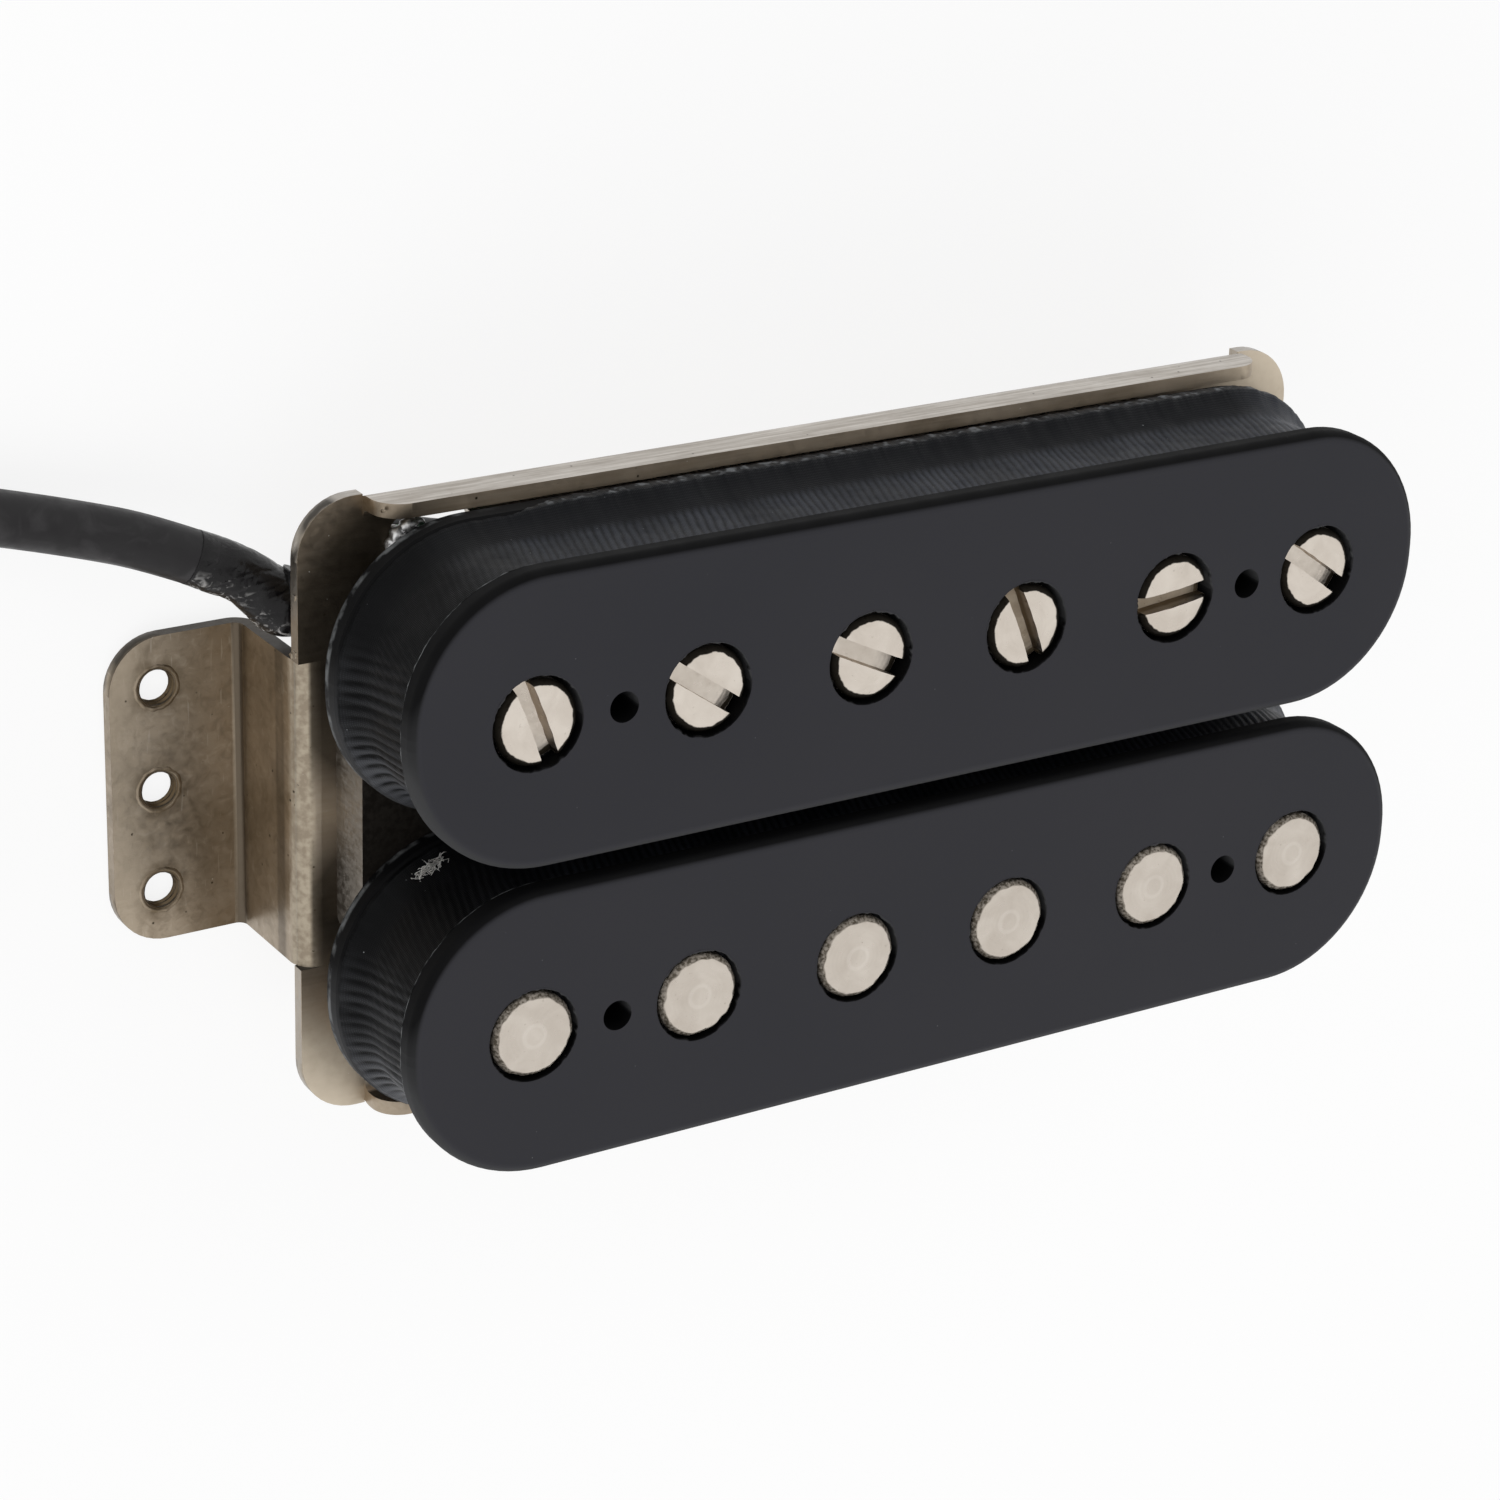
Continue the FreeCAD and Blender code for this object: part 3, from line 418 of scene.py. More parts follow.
def nickel_silver():
    """Rolled sheet: warm grey, stained, scratched and speckled, with sheared edges."""
    mat = Recipe("nickel_silver", Specular_IOR_Level=0.1)
    x, y, z = mat.axes(mat.place())
    sideways = mat.normal()[1]
    across, along, upward = [abs(part) for part in mat.normal()]
    level = upward.rise(0.9, 0.98)
    on_sheet = z.rise(7.7, 7.8)
    below = z.fall(6.6, 7.0)
    # Streaks of rolling, patches, and the mottled legs and feet
    cloudy = mat.noise(0.16, 4, warp=0.6).rise(0.35, 0.68)
    mat.colour = mat.mix(cloudy, (0.33, 0.265, 0.19), (0.47, 0.39, 0.3))
    rolled = mat.noise(1.0, 4, (0.25, 5, 5)).rise(0.35, 0.7)
    mat.paint(rolled * z.rise(6.6, 7.2, 0.07, 0.3), (0.55, 0.48, 0.39))
    patches = mat.noise(0.45, 6, warp=1.2).rise(0.56, 0.72)
    mat.paint(patches * z.rise(6.8, 7.4, 1.0, 0.15) * 0.4, (0.15, 0.115, 0.075))
    mottled = mat.noise(1.5, 6, warp=0.8)
    mat.paint(mottled.rise(0.52, 0.66) * below * 0.26, (0.14, 0.11, 0.07))
    mat.paint(mottled.fall(0.3, 0.44) * below * 0.38, (0.58, 0.5, 0.4))
    scratched = mat.noise(1.3, 2, (5, 0.4, 1), 0.4).rise(0.68, 0.71)
    mat.paint(scratched * below * 0.3, (0.7, 0.64, 0.55))
    # Flanges painted lighter grey with rolled streaks, a painted reflection; rubbed bends, and dark
    # ones above the feet
    flange_reflection = mat.mix(rolled, (0.36, 0.33, 0.295), (0.64, 0.61, 0.57))
    mat.paint(along.rise(0.75, 0.95) * z.rise(6.9, 7.2) * 0.8, flange_reflection)
    turning = upward.rise(0.05, 0.3) * upward.fall(0.93, 0.995)
    rubbed = mat.noise(2.2, 6).rise(0.38, 0.62)
    rubbed = mat.mix(rubbed, (0.29, 0.24, 0.18), (0.43, 0.37, 0.285))
    mat.paint(abs(x).rise(30.9, 31.3) * turning, rubbed)
    mat.paint(turning * z.fall(3.0, 3.5), (0.125, 0.1, 0.073))
    # Painted light on the corners and on the plate away from the bobbins, and painted shade by the
    # bobbins
    lit_corners = x.rise(24, 30).most(y.fall(-13, -10) * x.fall(-30, -27))
    mat.paint(lit_corners * level * z.rise(7.6, 7.8) * 0.85, (0.62, 0.54, 0.43))
    beyond = (abs(x) - 24.3).most(0.0)
    outside = diagonal(beyond, abs(abs(y) - ROW_Y)) - HALF_WIDTH
    lit_away_from_bobbins = outside.rise(0.8, 3.0) * on_sheet * x.fall(-28, -26) * y.rise(8.8, 9.5) * level
    mat.paint(lit_away_from_bobbins * 0.9, (0.62, 0.5, 0.37))
    # Painted shade on the plate next to the bobbins, strongest at the -X end; its roughness is
    # raised there too
    bobbin_shade = outside.fall(0.2, 2.6) * on_sheet * upward
    painted_bobbin_shade = bobbin_shade * x.rise(-27, -24, 0.85, 0.2) * y.rise(-10, -6, 0.3, 1.0)
    mat.paint(painted_bobbin_shade, (0.03, 0.024, 0.017))
    # Feet: stained holes, pale outer edges and dark inner ones
    on_foot = z.fall(1.2, 1.4)
    to_row = (y + 10 * HOLE_PITCH).math("PINGPONG", HOLE_PITCH / 2)
    ragged = diagonal(abs(x) - HOLE_X, to_row) + mat.noise(0.9, 6) * 2.2
    mat.paint(ragged.fall(2.0, 2.9) * on_foot * 0.75, (0.115, 0.08, 0.042))
    on_foot = on_foot * level
    outwards = abs(x) + mat.noise(0.5, 4)
    mat.paint(on_foot * outwards.rise(37.9, 39.3) * 0.5, (0.56, 0.475, 0.37))
    inner = outwards.fall(35.0, 36.6) * y.rise(-4.0, 1.0, 0.42, 0.12)
    mat.paint(on_foot * inner, (0.1, 0.075, 0.045))
    # Legs: streaks and a dark band, then specks all over
    banded = abs(z - 5.6).fall(0.35, 0.6)
    streaked = mat.noise(0.5, 2, (1, 0.3, 1.6)).rise(0.25, 0.7, 0.45, 1.0)
    on_leg = across.rise(0.75, 0.9) * z.fall(6.2, 6.6)
    mat.paint(on_leg * streaked * (banded * 0.5 + 0.3), (0.09, 0.068, 0.045))
    mat.paint(mat.specks(1.0, 0.1, 1.7, 0.5), (0.045, 0.034, 0.022))
    mat.paint(mat.specks(1.3, 0.05, 1.1, 0.56) * 0.8, (0.75, 0.72, 0.66))
    # Sheared edges, and painted shade on faces that face +Y inside the flanges' outer faces, such
    # as the walls of the openings, which are made less metallic there
    sheared = abs(z - PLATE_MIDDLE).fall(0.34, 0.38) * upward.fall(0.2, 0.5)
    torn = mat.noise(1.5, 5, (1, 1, 6)).rise(0.3, 0.7, 0.3, 0.85)
    mat.paint(sheared * torn, (0.4, 0.375, 0.34))
    inner_face_shade = upward.fall(0.1, 0.4) * sideways.rise(0.3, 0.6) * abs(y).fall(17.25, 17.4)
    mat.paint(inner_face_shade * 0.9, (0.03, 0.025, 0.019))
    mat.feed(Metallic=1 - inner_face_shade * 0.92)
    mat.bump(mat.noise(1.0, 5, (0.6, 12, 12)), 0.01, 0.5)
    mat.bump(mat.noise(3.5, 6), 0.012, 0.4)
    mat.finish(mat.noise(2.2, 5).rise(0.3, 0.7, 0.3, 0.42) + bobbin_shade * 0.2)


def bobbin_plastic():
    """Moulded black plastic with a satin skin, painted light and shade on its sides, worn moulding
    lines with painted edge highlights, and a little dust.
    """
    mat = Recipe("bobbin_plastic", Specular_IOR_Level=0.12)
    x, _, z = mat.axes(mat.place())
    sideways = mat.normal()[1]
    upward = abs(mat.normal()[2])
    haze = mat.noise(0.05, 2).rise(0.3, 0.7)
    mat.colour = mat.mix(haze, (0.0255, 0.0256, 0.0302), (0.029, 0.0286, 0.033))
    # Sides painted apart from the top: painted shade on those that face +Y, painted light on those
    # that face -Y
    side_light_and_shade = mat.mix(sideways.rise(-0.2, 0.2), (0.036, 0.0365, 0.038), (0.0012, 0.0012, 0.0015))
    mat.paint(upward.fall(0.8, 0.97), side_light_and_shade)
    # Rim lines at the -X ends painted lighter: worn moulding lines with painted edge highlights
    rim_highlights = abs(z - RIM_HEIGHT).fall(0.05, 0.16).most(abs(z - BOBBIN_FOOT).fall(0.1, 0.25) * 0.6)
    broken = mat.noise(1.1, 6).rise(0.42, 0.6)
    worn = rim_highlights * upward.fall(0.3, 0.6) * broken * x.fall(-27.0, -22.0)
    mat.paint(worn * 0.85, (0.24, 0.25, 0.255))
    mat.paint(mat.specks(1.2, 0.04, 0.8, 0.6) * 0.5, (0.3, 0.3, 0.31))
    mat.bump(mat.noise(9.0, 3), 0.003, 0.35)
    mat.bump(mat.noise(0.12, 2), 0.05, 0.12)
    plain = mat.noise(0.7, 5).rise(0.3, 0.7, 0.38, 0.46)
    mat.finish(plain + upward.rise(0.8, 0.98, 0.3, 0.0))


def coil_tape():
    """Black cloth tape: painted shade in the grooves between ribs and painted light on the crests,
    a fine weave, worn crests and bright lint.
    """
    mat = Recipe("coil_tape", Specular_IOR_Level=0.09)
    # The tape's crest value is painted light and shade: lighter crests, dark grooves, and turns
    # shaded or lit by the way they face
    crest_light_and_shade = Field(mat.tree, "ShaderNodeAttribute", output="Fac", attribute_name="crest_light_and_shade")
    weave = mat.wave(3.2, "X", 1.0, "UV") * mat.wave(2.4, "Y", 1.5, "UV")
    x, _, z = mat.axes(mat.place())
    bluish = mat.mix(x.fall(-25.0, -22.0), (0.062, 0.068, 0.086), (0.046, 0.047, 0.05))
    mat.colour = mat.mix(crest_light_and_shade, (0.0008, 0.0009, 0.0012), bluish)
    mat.paint(weave * crest_light_and_shade * 0.6, (0.085, 0.092, 0.112))
    frayed = mat.noise(1.6, 6).rise(0.5, 0.62)
    mat.paint(z.fall(11.8, 12.1) * frayed * 0.8, (0.17, 0.18, 0.19))
    worn = mat.noise(0.35, 5).rise(0.5, 0.72)
    mat.paint(worn * crest_light_and_shade * 0.3, (0.07, 0.074, 0.084))
    mat.paint(mat.specks(1.1, 0.05, 0.9, 0.56) * 0.7, (0.4, 0.41, 0.43))
    mat.bump(weave, 0.03, 0.5)
    mat.bump(mat.noise(5.0, 4), 0.012, 0.6)
    mat.finish(mat.noise(0.8, 4).rise(0.3, 0.7, 0.34, 0.55))


def pole_plating():
    """Nickel plated steel: faced on a lathe, clean on the flat, with painted shade and painted dark
    reflection towards the rim.
    """
    mat = Recipe("pole_plating", Metallic=1.0)
    x, y, z = mat.axes(mat.place())
    along = (x + 20.5 * POLE_PITCH).math("PINGPONG", POLE_PITCH / 2)
    radius = diagonal(along, abs(y) - ROW_Y)
    on_slug = y.fall(-1.0, 1.0)
    blotch = mat.noise(0.6, 3, warp=0.6).rise(0.3, 0.75)
    mat.colour = mat.mix(blotch, (0.58, 0.52, 0.455), (0.69, 0.63, 0.56))
    mat.paint(on_slug * 0.12, (0.12, 0.105, 0.085))
    mark = abs(radius - 0.62).fall(0.06, 0.16)
    mat.paint(mark * on_slug * 0.14, (0.85, 0.8, 0.74))
    pits = mat.noise(4.5, 4).rise(0.68, 0.75)
    mat.paint(pits * 0.3, (0.24, 0.2, 0.155))
    # Painted shade and painted dark reflection by the rims, over the slugs' bevels, and on the
    # walls of the slots
    nibbled = radius + mat.noise(1.5, 6) * 0.28
    in_slot = radius.fall(2.3, 2.33) * z.rise(19.3, 19.4)
    near_face = z.rise(19.95, 20.15).most(in_slot)
    rim_shade = (nibbled - on_slug.rise(0.0, 1.0, 2.15, 2.22)).rise(0.0, 0.06) * near_face.most(on_slug)
    grains = mat.noise(6.0, 3).rise(0.4, 0.6, 1.0, 0.45).most(0.99 - on_slug)
    rim_shade_colour = mat.mix(on_slug, (0.012, 0.01, 0.0075), (0.1, 0.085, 0.065))
    mat.paint(rim_shade * grains, rim_shade_colour)
    # Floors of the slots, most of all on the fourth and fifth screw
    deep = z.fall(19.9, 20.15) * in_slot * (1.0 - on_slug)
    middle = x.rise(-0.5, 0.5) * x.fall(19.5, 20.5)
    mat.paint(deep * middle.rise(0, 1, 0.12, 0.75), (0.2, 0.155, 0.1))
    rings = (radius + mat.noise(0.8, 2) * 0.12) * 24.0
    mat.bump(rings.math("SINE"), 0.003, 0.3)
    mat.bump(mat.noise(6.0, 4), 0.006, 0.4)
    mat.bump(mat.noise(0.5, 2), 0.06, 0.25)
    mat.finish(mat.noise(3.0, 5).rise(0.3, 0.7, 0.26, 0.4) + rim_shade * 0.3, "pole_steel")


def cable_jacket():
    """Soft black jacket, dull, with faint rubbed marks and lint."""
    mat = Recipe("cable_jacket", Specular_IOR_Level=0.32)
    rubbed = mat.noise(0.5, 5, warp=1.0).rise(0.5, 0.78)
    mat.colour = mat.mix(rubbed, (0.008, 0.0072, 0.008), (0.026, 0.0245, 0.026))
    mat.paint(mat.specks(0.9, 0.05, 0.8, 0.6) * 0.6, (0.2, 0.2, 0.2))
    mat.bump(mat.noise(2.5, 5), 0.025, 0.5)
    mat.bump(mat.noise(0.35, 2), 0.12, 0.3)
    mat.finish(mat.noise(1.2, 5).rise(0.3, 0.7, 0.34, 0.52))


def shrink_sleeve():
    """Shrunk sleeve: glossy black with creases, and pale patches on the side that faces -Y."""
    mat = Recipe("shrink_sleeve", Specular_IOR_Level=0.24)
    smoke = mat.noise(0.7, 3).rise(0.5, 0.8)
    mat.colour = mat.mix(smoke, (0.0045, 0.004, 0.0045), (0.012, 0.0115, 0.012))
    pale_patches = mat.noise(1.7, 6, warp=1.2).rise(0.52, 0.64) * mat.normal()[1].fall(-0.75, -0.1)
    mat.paint(pale_patches * 0.8, (0.46, 0.45, 0.44))
    mat.bump(mat.noise(0.9, 4, (1, 2, 2), 0.8), 0.1, 0.45)
    mat.finish(mat.noise(1.2, 4).rise(0.35, 0.65, 0.18, 0.36))


def insulation(name, deep, pale):
    """Wire insulation in one colour, slightly scuffed."""
    mat = Recipe(name)
    mat.colour = mat.mix(mat.noise(1.3, 4).rise(0.35, 0.7), deep, pale)
    mat.bump(mat.noise(3.0, 3), 0.015, 0.4)
    mat.finish(mat.noise(2.0, 4).rise(0.3, 0.7, 0.28, 0.45))


def bright_metal(name, deep, pale, stretch, relief):
    """Bare metal with marks that run one way."""
    mat = Recipe(name, Metallic=1.0)
    mat.colour = mat.mix(mat.noise(1.6, 5, stretch).rise(0.3, 0.7), deep, pale)
    mat.bump(mat.noise(2.0, 5, stretch), relief, 0.6)
    mat.finish(mat.noise(2.5, 4).rise(0.3, 0.7, 0.25, 0.5))


def maple():
    """Plain maple with fine grain along X."""
    mat = Recipe("spacer_wood")
    grain = mat.noise(1.2, 6, (0.12, 4, 4), 0.6).rise(0.3, 0.7)
    mat.colour = mat.mix(grain, (0.42, 0.27, 0.14), (0.68, 0.5, 0.31))
    mat.bump(grain, 0.03, 0.6)
    mat.finish(grain.rise(0.0, 1.0, 0.75, 0.6))


def cast_magnet():
    """Cast magnet: ends ground pale with upright streaks, the rest pitted and painted dark as
    shade.
    """
    mat = Recipe("magnet", Metallic=1.0)
    ground = abs(mat.normal()[0]).rise(0.7, 0.9)
    streaks = mat.noise(1.2, 5, (1, 3.5, 0.25)).rise(0.3, 0.7)
    pale = mat.mix(streaks, (0.25, 0.225, 0.195), (0.36, 0.33, 0.295))
    pits = mat.noise(2.6, 6).rise(0.4, 0.62)
    # Faces other than the ends painted near black: painted shade
    painted_shade_colour = mat.mix(pits, (0.022, 0.019, 0.016), (0.04, 0.035, 0.03))
    mat.colour = mat.mix(ground, painted_shade_colour, pale)
    mat.bump(mat.noise(3.0, 6), 0.015, 0.5)
    mat.finish(pits.rise(0.0, 1.0, 0.7, 0.5) - ground * 0.15)


def tie_band():
    """Woven black tie."""
    mat = Recipe("tie_band", Specular_IOR_Level=0.3, Sheen_Weight=0.1)
    weave = mat.wave(1.3, "DIAGONAL")
    mat.colour = mat.mix(weave, (0.012, 0.012, 0.013), (0.045, 0.045, 0.048))
    mat.bump(weave, 0.05, 0.6)
    mat.finish(mat.noise(2.0, 3).rise(0.3, 0.7, 0.55, 0.8), "tie_paper")


nickel_silver()
bobbin_plastic()
coil_tape()
pole_plating()
cable_jacket()
shrink_sleeve()
insulation("black_insulation", (0.009, 0.009, 0.01), (0.022, 0.022, 0.024))
insulation("red_insulation", (0.42, 0.012, 0.012), (0.6, 0.03, 0.025))
insulation("white_insulation", (0.62, 0.61, 0.58), (0.8, 0.79, 0.76))
insulation("green_insulation", (0.012, 0.17, 0.045), (0.025, 0.3, 0.09))
bright_metal("copper_wire", (0.3, 0.1, 0.045), (0.62, 0.25, 0.12), (0.2, 0.2, 9), 0.04)
bright_metal("keeper_steel", (0.3, 0.29, 0.28), (0.5, 0.49, 0.47), (0.2, 4, 4), 0.02)
bright_metal("tinned_copper", (0.42, 0.42, 0.42), (0.72, 0.72, 0.72), (1, 1, 1), 0.03)
maple()
cast_magnet()
tie_band()


def modify(owner, **modifiers):
    """Modifiers of an object, by their kind, with the settings of each."""
    for kind, settings in modifiers.items():
        modifier = owner.modifiers.new(kind, kind)
        for key, value in settings.items():
            setattr(modifier, key, value)


def dress_frame():
    """Every CAD node gets the finish of its slot, and the plate gets softened edges."""
    slots = {row["node"]: row["material_slot"] for row in frame["record"]["subparts"]}
    for name, node in nodes.items():
        node.data.materials.clear()
        node.data.materials.append(MATERIALS[slots[name]])
    bevel = dict(width=PLATE_EDGE * MM, segments=2, limit_method="ANGLE", angle_limit=radians(35))
    weld = dict(merge_threshold=0.001 * MM)
    modify(nodes["baseplate"], WELD=weld, BEVEL=dict(bevel, harden_normals=True))


# Building pieces


def new_object(name, data):
    """An object in the scene."""
    made = bpy.data.objects.new(name, data)
    bpy.context.scene.collection.objects.link(made)
    return made


def carry(piece, replaced, body="pickup"):
    """A piece rides on a body, and may stand for CAD nodes, which are hidden."""
    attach(piece, body)
    if replaced:
        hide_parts(*replaced)
    return piece


def new_piece(name, mesh, slot, *replaced, body="pickup"):
    """A mesh drawn in millimetres becomes a piece that rides on a body."""
    mesh.transform(Matrix.Scale(MM, 4))
    mesh.materials.clear()
    mesh.materials.append(MATERIALS[slot])
    return carry(new_object(name, mesh), replaced, body)


def box_of(node):
    """Two opposite corners of a CAD node."""
    return [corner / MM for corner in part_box(node)]


def mesh_from(sheet, mesh=None):
    """What was drawn in a bmesh, as a mesh."""
    mesh = mesh or bpy.data.meshes.new("drawn")
    sheet.to_mesh(mesh)
    sheet.free()
    return mesh


def mesh_of(points, faces):
    """A smooth mesh from points and faces, with its faces turned outwards."""
    mesh = bpy.data.meshes.new("made")
    mesh.from_pydata(points, [], faces)
    sheet = bmesh.new()
    sheet.from_mesh(mesh)
    bmesh.ops.recalc_face_normals(sheet, faces=sheet.faces)
    mesh_from(sheet, mesh)
    mesh.shade_smooth()
    mesh.update()
    return mesh


def baked(mesh, **modifiers):
    """The mesh that modifiers make of a mesh."""
    carrier = new_object("carrier", mesh)
    modify(carrier, **modifiers)
    graph = bpy.context.evaluated_depsgraph_get()
    made = bpy.data.meshes.new_from_object(carrier.evaluated_get(graph))
    bpy.data.objects.remove(carrier)
    return made


def ring_mesh(rings, ends="closed"):
    """A tube through rings of points, with closed, open or joined ends."""
    count = len(rings[0])
    points = [point for ring in rings for point in ring]
    faces = []
    for base in range(0, len(points) - (0 if ends == "joined" else count), count):
        after = (base + count) % len(points)
        for column in range(count):
            ahead = (column + 1) % count
            faces.append((base + column, after + column, after + ahead, base + ahead))
    if ends == "closed":
        faces += [tuple(range(count)), tuple(range(len(points) - count, len(points)))]
    return mesh_of(points, faces)


def turned(profile, centre, segments, shape):
    """Rings about an upright axis: shape makes radius and height of a pair and an angle."""
    rings = []
    for pair in profile:
        shaped = [(angle, *shape(*pair, angle)) for angle in angles(segments)]
        rings.append([(*polar(centre, radius, angle), height) for angle, radius, height in shaped])
    return rings


def thread(height, pitch, angle):
    """How deep a turned thread is at one place, from nothing at its edges to one."""
    return 1 - abs(2 * ((height / pitch - angle / (2 * pi)) % 1.0) - 1)


def joined(meshes):
    """Several meshes as one."""
    sheet = bmesh.new()
    for mesh in meshes:
        sheet.from_mesh(mesh)
    return mesh_from(sheet)


def lumps(places, stretch):
    """Round lumps, each from its place and radius, stretched along the axes."""
    sheet = bmesh.new()
    for x, y, z, radius in places:
        spot = Matrix.Translation((x, y, z)) @ Matrix.Diagonal((*stretch, 1))
        bmesh.ops.create_icosphere(sheet, subdivisions=3, radius=radius, matrix=spot)
    return mesh_from(sheet)


def outline_of(low, high, radius, step):
    """Places round a rectangle with rounded corners: place, outward direction and way along."""
    centres = []
    for corner in ((1, 1), (-1, 1), (-1, -1), (1, -1)):
        spans = zip(low, high, corner)
        place = [(a + b) / 2 + side * ((b - a) / 2 - radius) for a, b, side in spans]
        centres.append(Vector(place))
    found = []
    for index, centre in enumerate(centres):
        count = max(2, round(radius * pi / 2 / step))
        for number in range(count + 1):
            angle = pi / 2 * (index + number / count)
            out = Vector((cos(angle), sin(angle)))
            found.append((centre + out * radius, out))
        begin = found[-1][0]
        ahead = centres[(index + 1) % 4] + out * radius
        count = max(1, round((ahead - begin).length / step))
        found += [(begin + (ahead - begin) * number / count, out) for number in range(1, count)]
    places = []
    length = 0.0
    for (place, out), (after, _) in zip(found, found[1:] + found[:1]):
        places.append((place, out, length))
        length += (after - place).length
    return places, length


# Camera, cable and wires


def make_camera():
    """The photograph's camera."""
    data = bpy.data.cameras.new("camera")
    data.sensor_width = SENSOR_WIDTH
    data.lens = CAMERA_LENS
    data.clip_start, data.clip_end = (limit * MM for limit in CAMERA_RANGE)
    camera = new_object("camera", data)
    place = metres(CAMERA_PLACE)
    level = (metres(CAMERA_AIM) - place).to_track_quat("-Z", "Y").to_matrix().to_4x4()
    roll = Matrix.Rotation(radians(-CAMERA_ROLL), 4, "Z")
    camera.matrix_world = Matrix.Translation(place) @ level @ roll
    bpy.context.scene.camera = camera


def from_plate_end(places):
    """Places in the frame, of places whose X starts at the plate's -X end."""
    return [Vector((PLATE_END + x, y, z)) for x, y, z in places]


def coil_place(turns):
    """Place of the coil's axis, and its direction, after some turns."""
    angle = pi / 2 + 2 * pi * turns
    shrink = -COIL_PITCH / (2 * pi)
    radius = COIL_START_RADIUS - COIL_PITCH * turns
    place = Vector((*polar(COIL_CENTRE, radius, angle), COIL_HEIGHT))
    along = shrink * cos(angle) - radius * sin(angle)
    aside = shrink * sin(angle) + radius * cos(angle)
    return place, Vector((along, aside, 0)).normalized()


def nurbs(name, points, resolution):
    """A curve with one open NURBS spline."""
    data = bpy.data.curves.new(name, "CURVE")
    data.dimensions = "3D"
    spline = data.splines.new("NURBS")
    spline.points.add(len(points) - 1)
    for made, point in zip(spline.points, points):
        made.co = (*point, 1)
    spline.order_u = 3
    spline.use_endpoint_u = True
    spline.resolution_u = resolution
    return data


def spline_piece(name, points, radius, slot, *replaced, waver=0.0, covered=1.0):
    """A round cord on one open NURBS spline, drawn along a share of it."""
    data = nurbs(name, [metres(point) for point in points], 8)
    for index, made in enumerate(data.splines[0].points):
        made.radius = 1 - waver * (0.5 + 0.5 * rough(index * 0.9, radius, 3.0))
    data.bevel_depth = radius * MM
    data.bevel_resolution = 8
    data.bevel_factor_end = covered
    data.use_fill_caps = True
    data.materials.append(MATERIALS[slot])
    return carry(new_object(name, data), replaced)


def far_end():
    """The stripped end: four conductors with bare tips, and the drain wire."""
    pieces = [spline_piece("far_drain", FAR_DRAIN, DRAIN_RADIUS, "tinned_copper", "far_drain_wire")]
    for colour, points in FAR_WIRES.items():
        name = "far_" + colour
        cover = (WIRE_RADIUS, colour + "_insulation", name + "_conductor")
        pieces.append(spline_piece(name, points, *cover, covered=COVERED_SHARE))
        pieces.append(spline_piece(name + "_strands", points, STRAND_RADIUS, "tinned_copper"))
    return pieces


def tie():
    """Woven band round all the turns of the coil, slightly loose and creased."""
    low, high = box_of("cable_tie")
    rings = []
    for place, out, way in outline_of((low.x, low.z), (high.x, high.z), TIE_CORNER, TIE_STEP)[0]:
        ring = []
        for row, y in enumerate(spaced(low.y, high.y, TIE_ROWS)):
            selvedge = 0.05 if min(row, TIE_ROWS - row) < 2 else 0.0
            ribs = 0.03 * (0.5 + 0.5 * cos(2 * pi * (way / 0.5 + 0.5 * (row % 2))))
            skin = place - out * (0.1 - selvedge - ribs + 0.03 * rough(way, y, 3.0))
            ring.append((skin.x, y, min(max(skin.y, 0.0), high.z)))
        back = place - out * TIE_SKIN
        ring += [(back.x, high.y, back.y), (back.x, low.y, back.y)]
        rings.append(ring)
    return new_piece("tie_band", ring_mesh(rings, "joined"), "tie_paper", "cable_tie")


def make_cable():
    """The output cable with its put-away coil."""
    start, way = coil_place(0)
    points = from_plate_end(CABLE_PLACES)
    points += [start - way * COIL_RUN_IN, start]
    count = round(COIL_TURNS * COIL_POINTS_PER_TURN)
    points += [coil_place(turns)[0] for turns in spaced(0, COIL_TURNS, count)[1:]]
    look = (CABLE_DIAMETER / 2, "cable_jacket", "output_cable", "cable_coil")
    cable = spline_piece("cable", points, *look, waver=0.03)
    far_end() + [tie()]


def inner_wires():
    """Wires between the cable, the splices and the coils."""
    for colour, points in INNER_WIRES.items():
        cover = (WIRE_RADIUS, colour + "_insulation", colour + "_conductor")
        spline_piece("inner_" + colour, points, *cover)
    spline_piece("inner_drain", INNER_DRAIN, DRAIN_RADIUS, "tinned_copper", "drain_wire")
    for name, points in COIL_LEADS.items():
        spline_piece(name.replace("_lead", ""), points, LEAD_RADIUS, "black_insulation", name)


make_camera()
make_cable()
inner_wires()
dress_frame()


# Boot where the cable goes under the plate, and the splices


def line_of(points):
    """Points of the smooth line that a NURBS spline draws through a route."""
    carrier = bpy.data.objects.new("line", nurbs("line", points, 24))
    mesh = bpy.data.meshes.new_from_object(carrier)
    bpy.data.objects.remove(carrier)
    return [vertex.co.copy() for vertex in mesh.vertices]


def tube_rings(line, segments, radius_at):
    """Rings round a line, with a radius by the share of its length and the angle."""
    rings = []
    last = len(line) - 1
    for index, place in enumerate(line):
        way = (line[min(index + 1, last)] - line[max(index - 1, 0)]).normalized()
        side = way.cross(Vector((0, 0, 1))).normalized()
        up = side.cross(way)
        rings.append([
            place + (side * cos(angle) + up * sin(angle)) * radius_at(index / last, angle)
            for angle in angles(segments)
        ])
    return rings


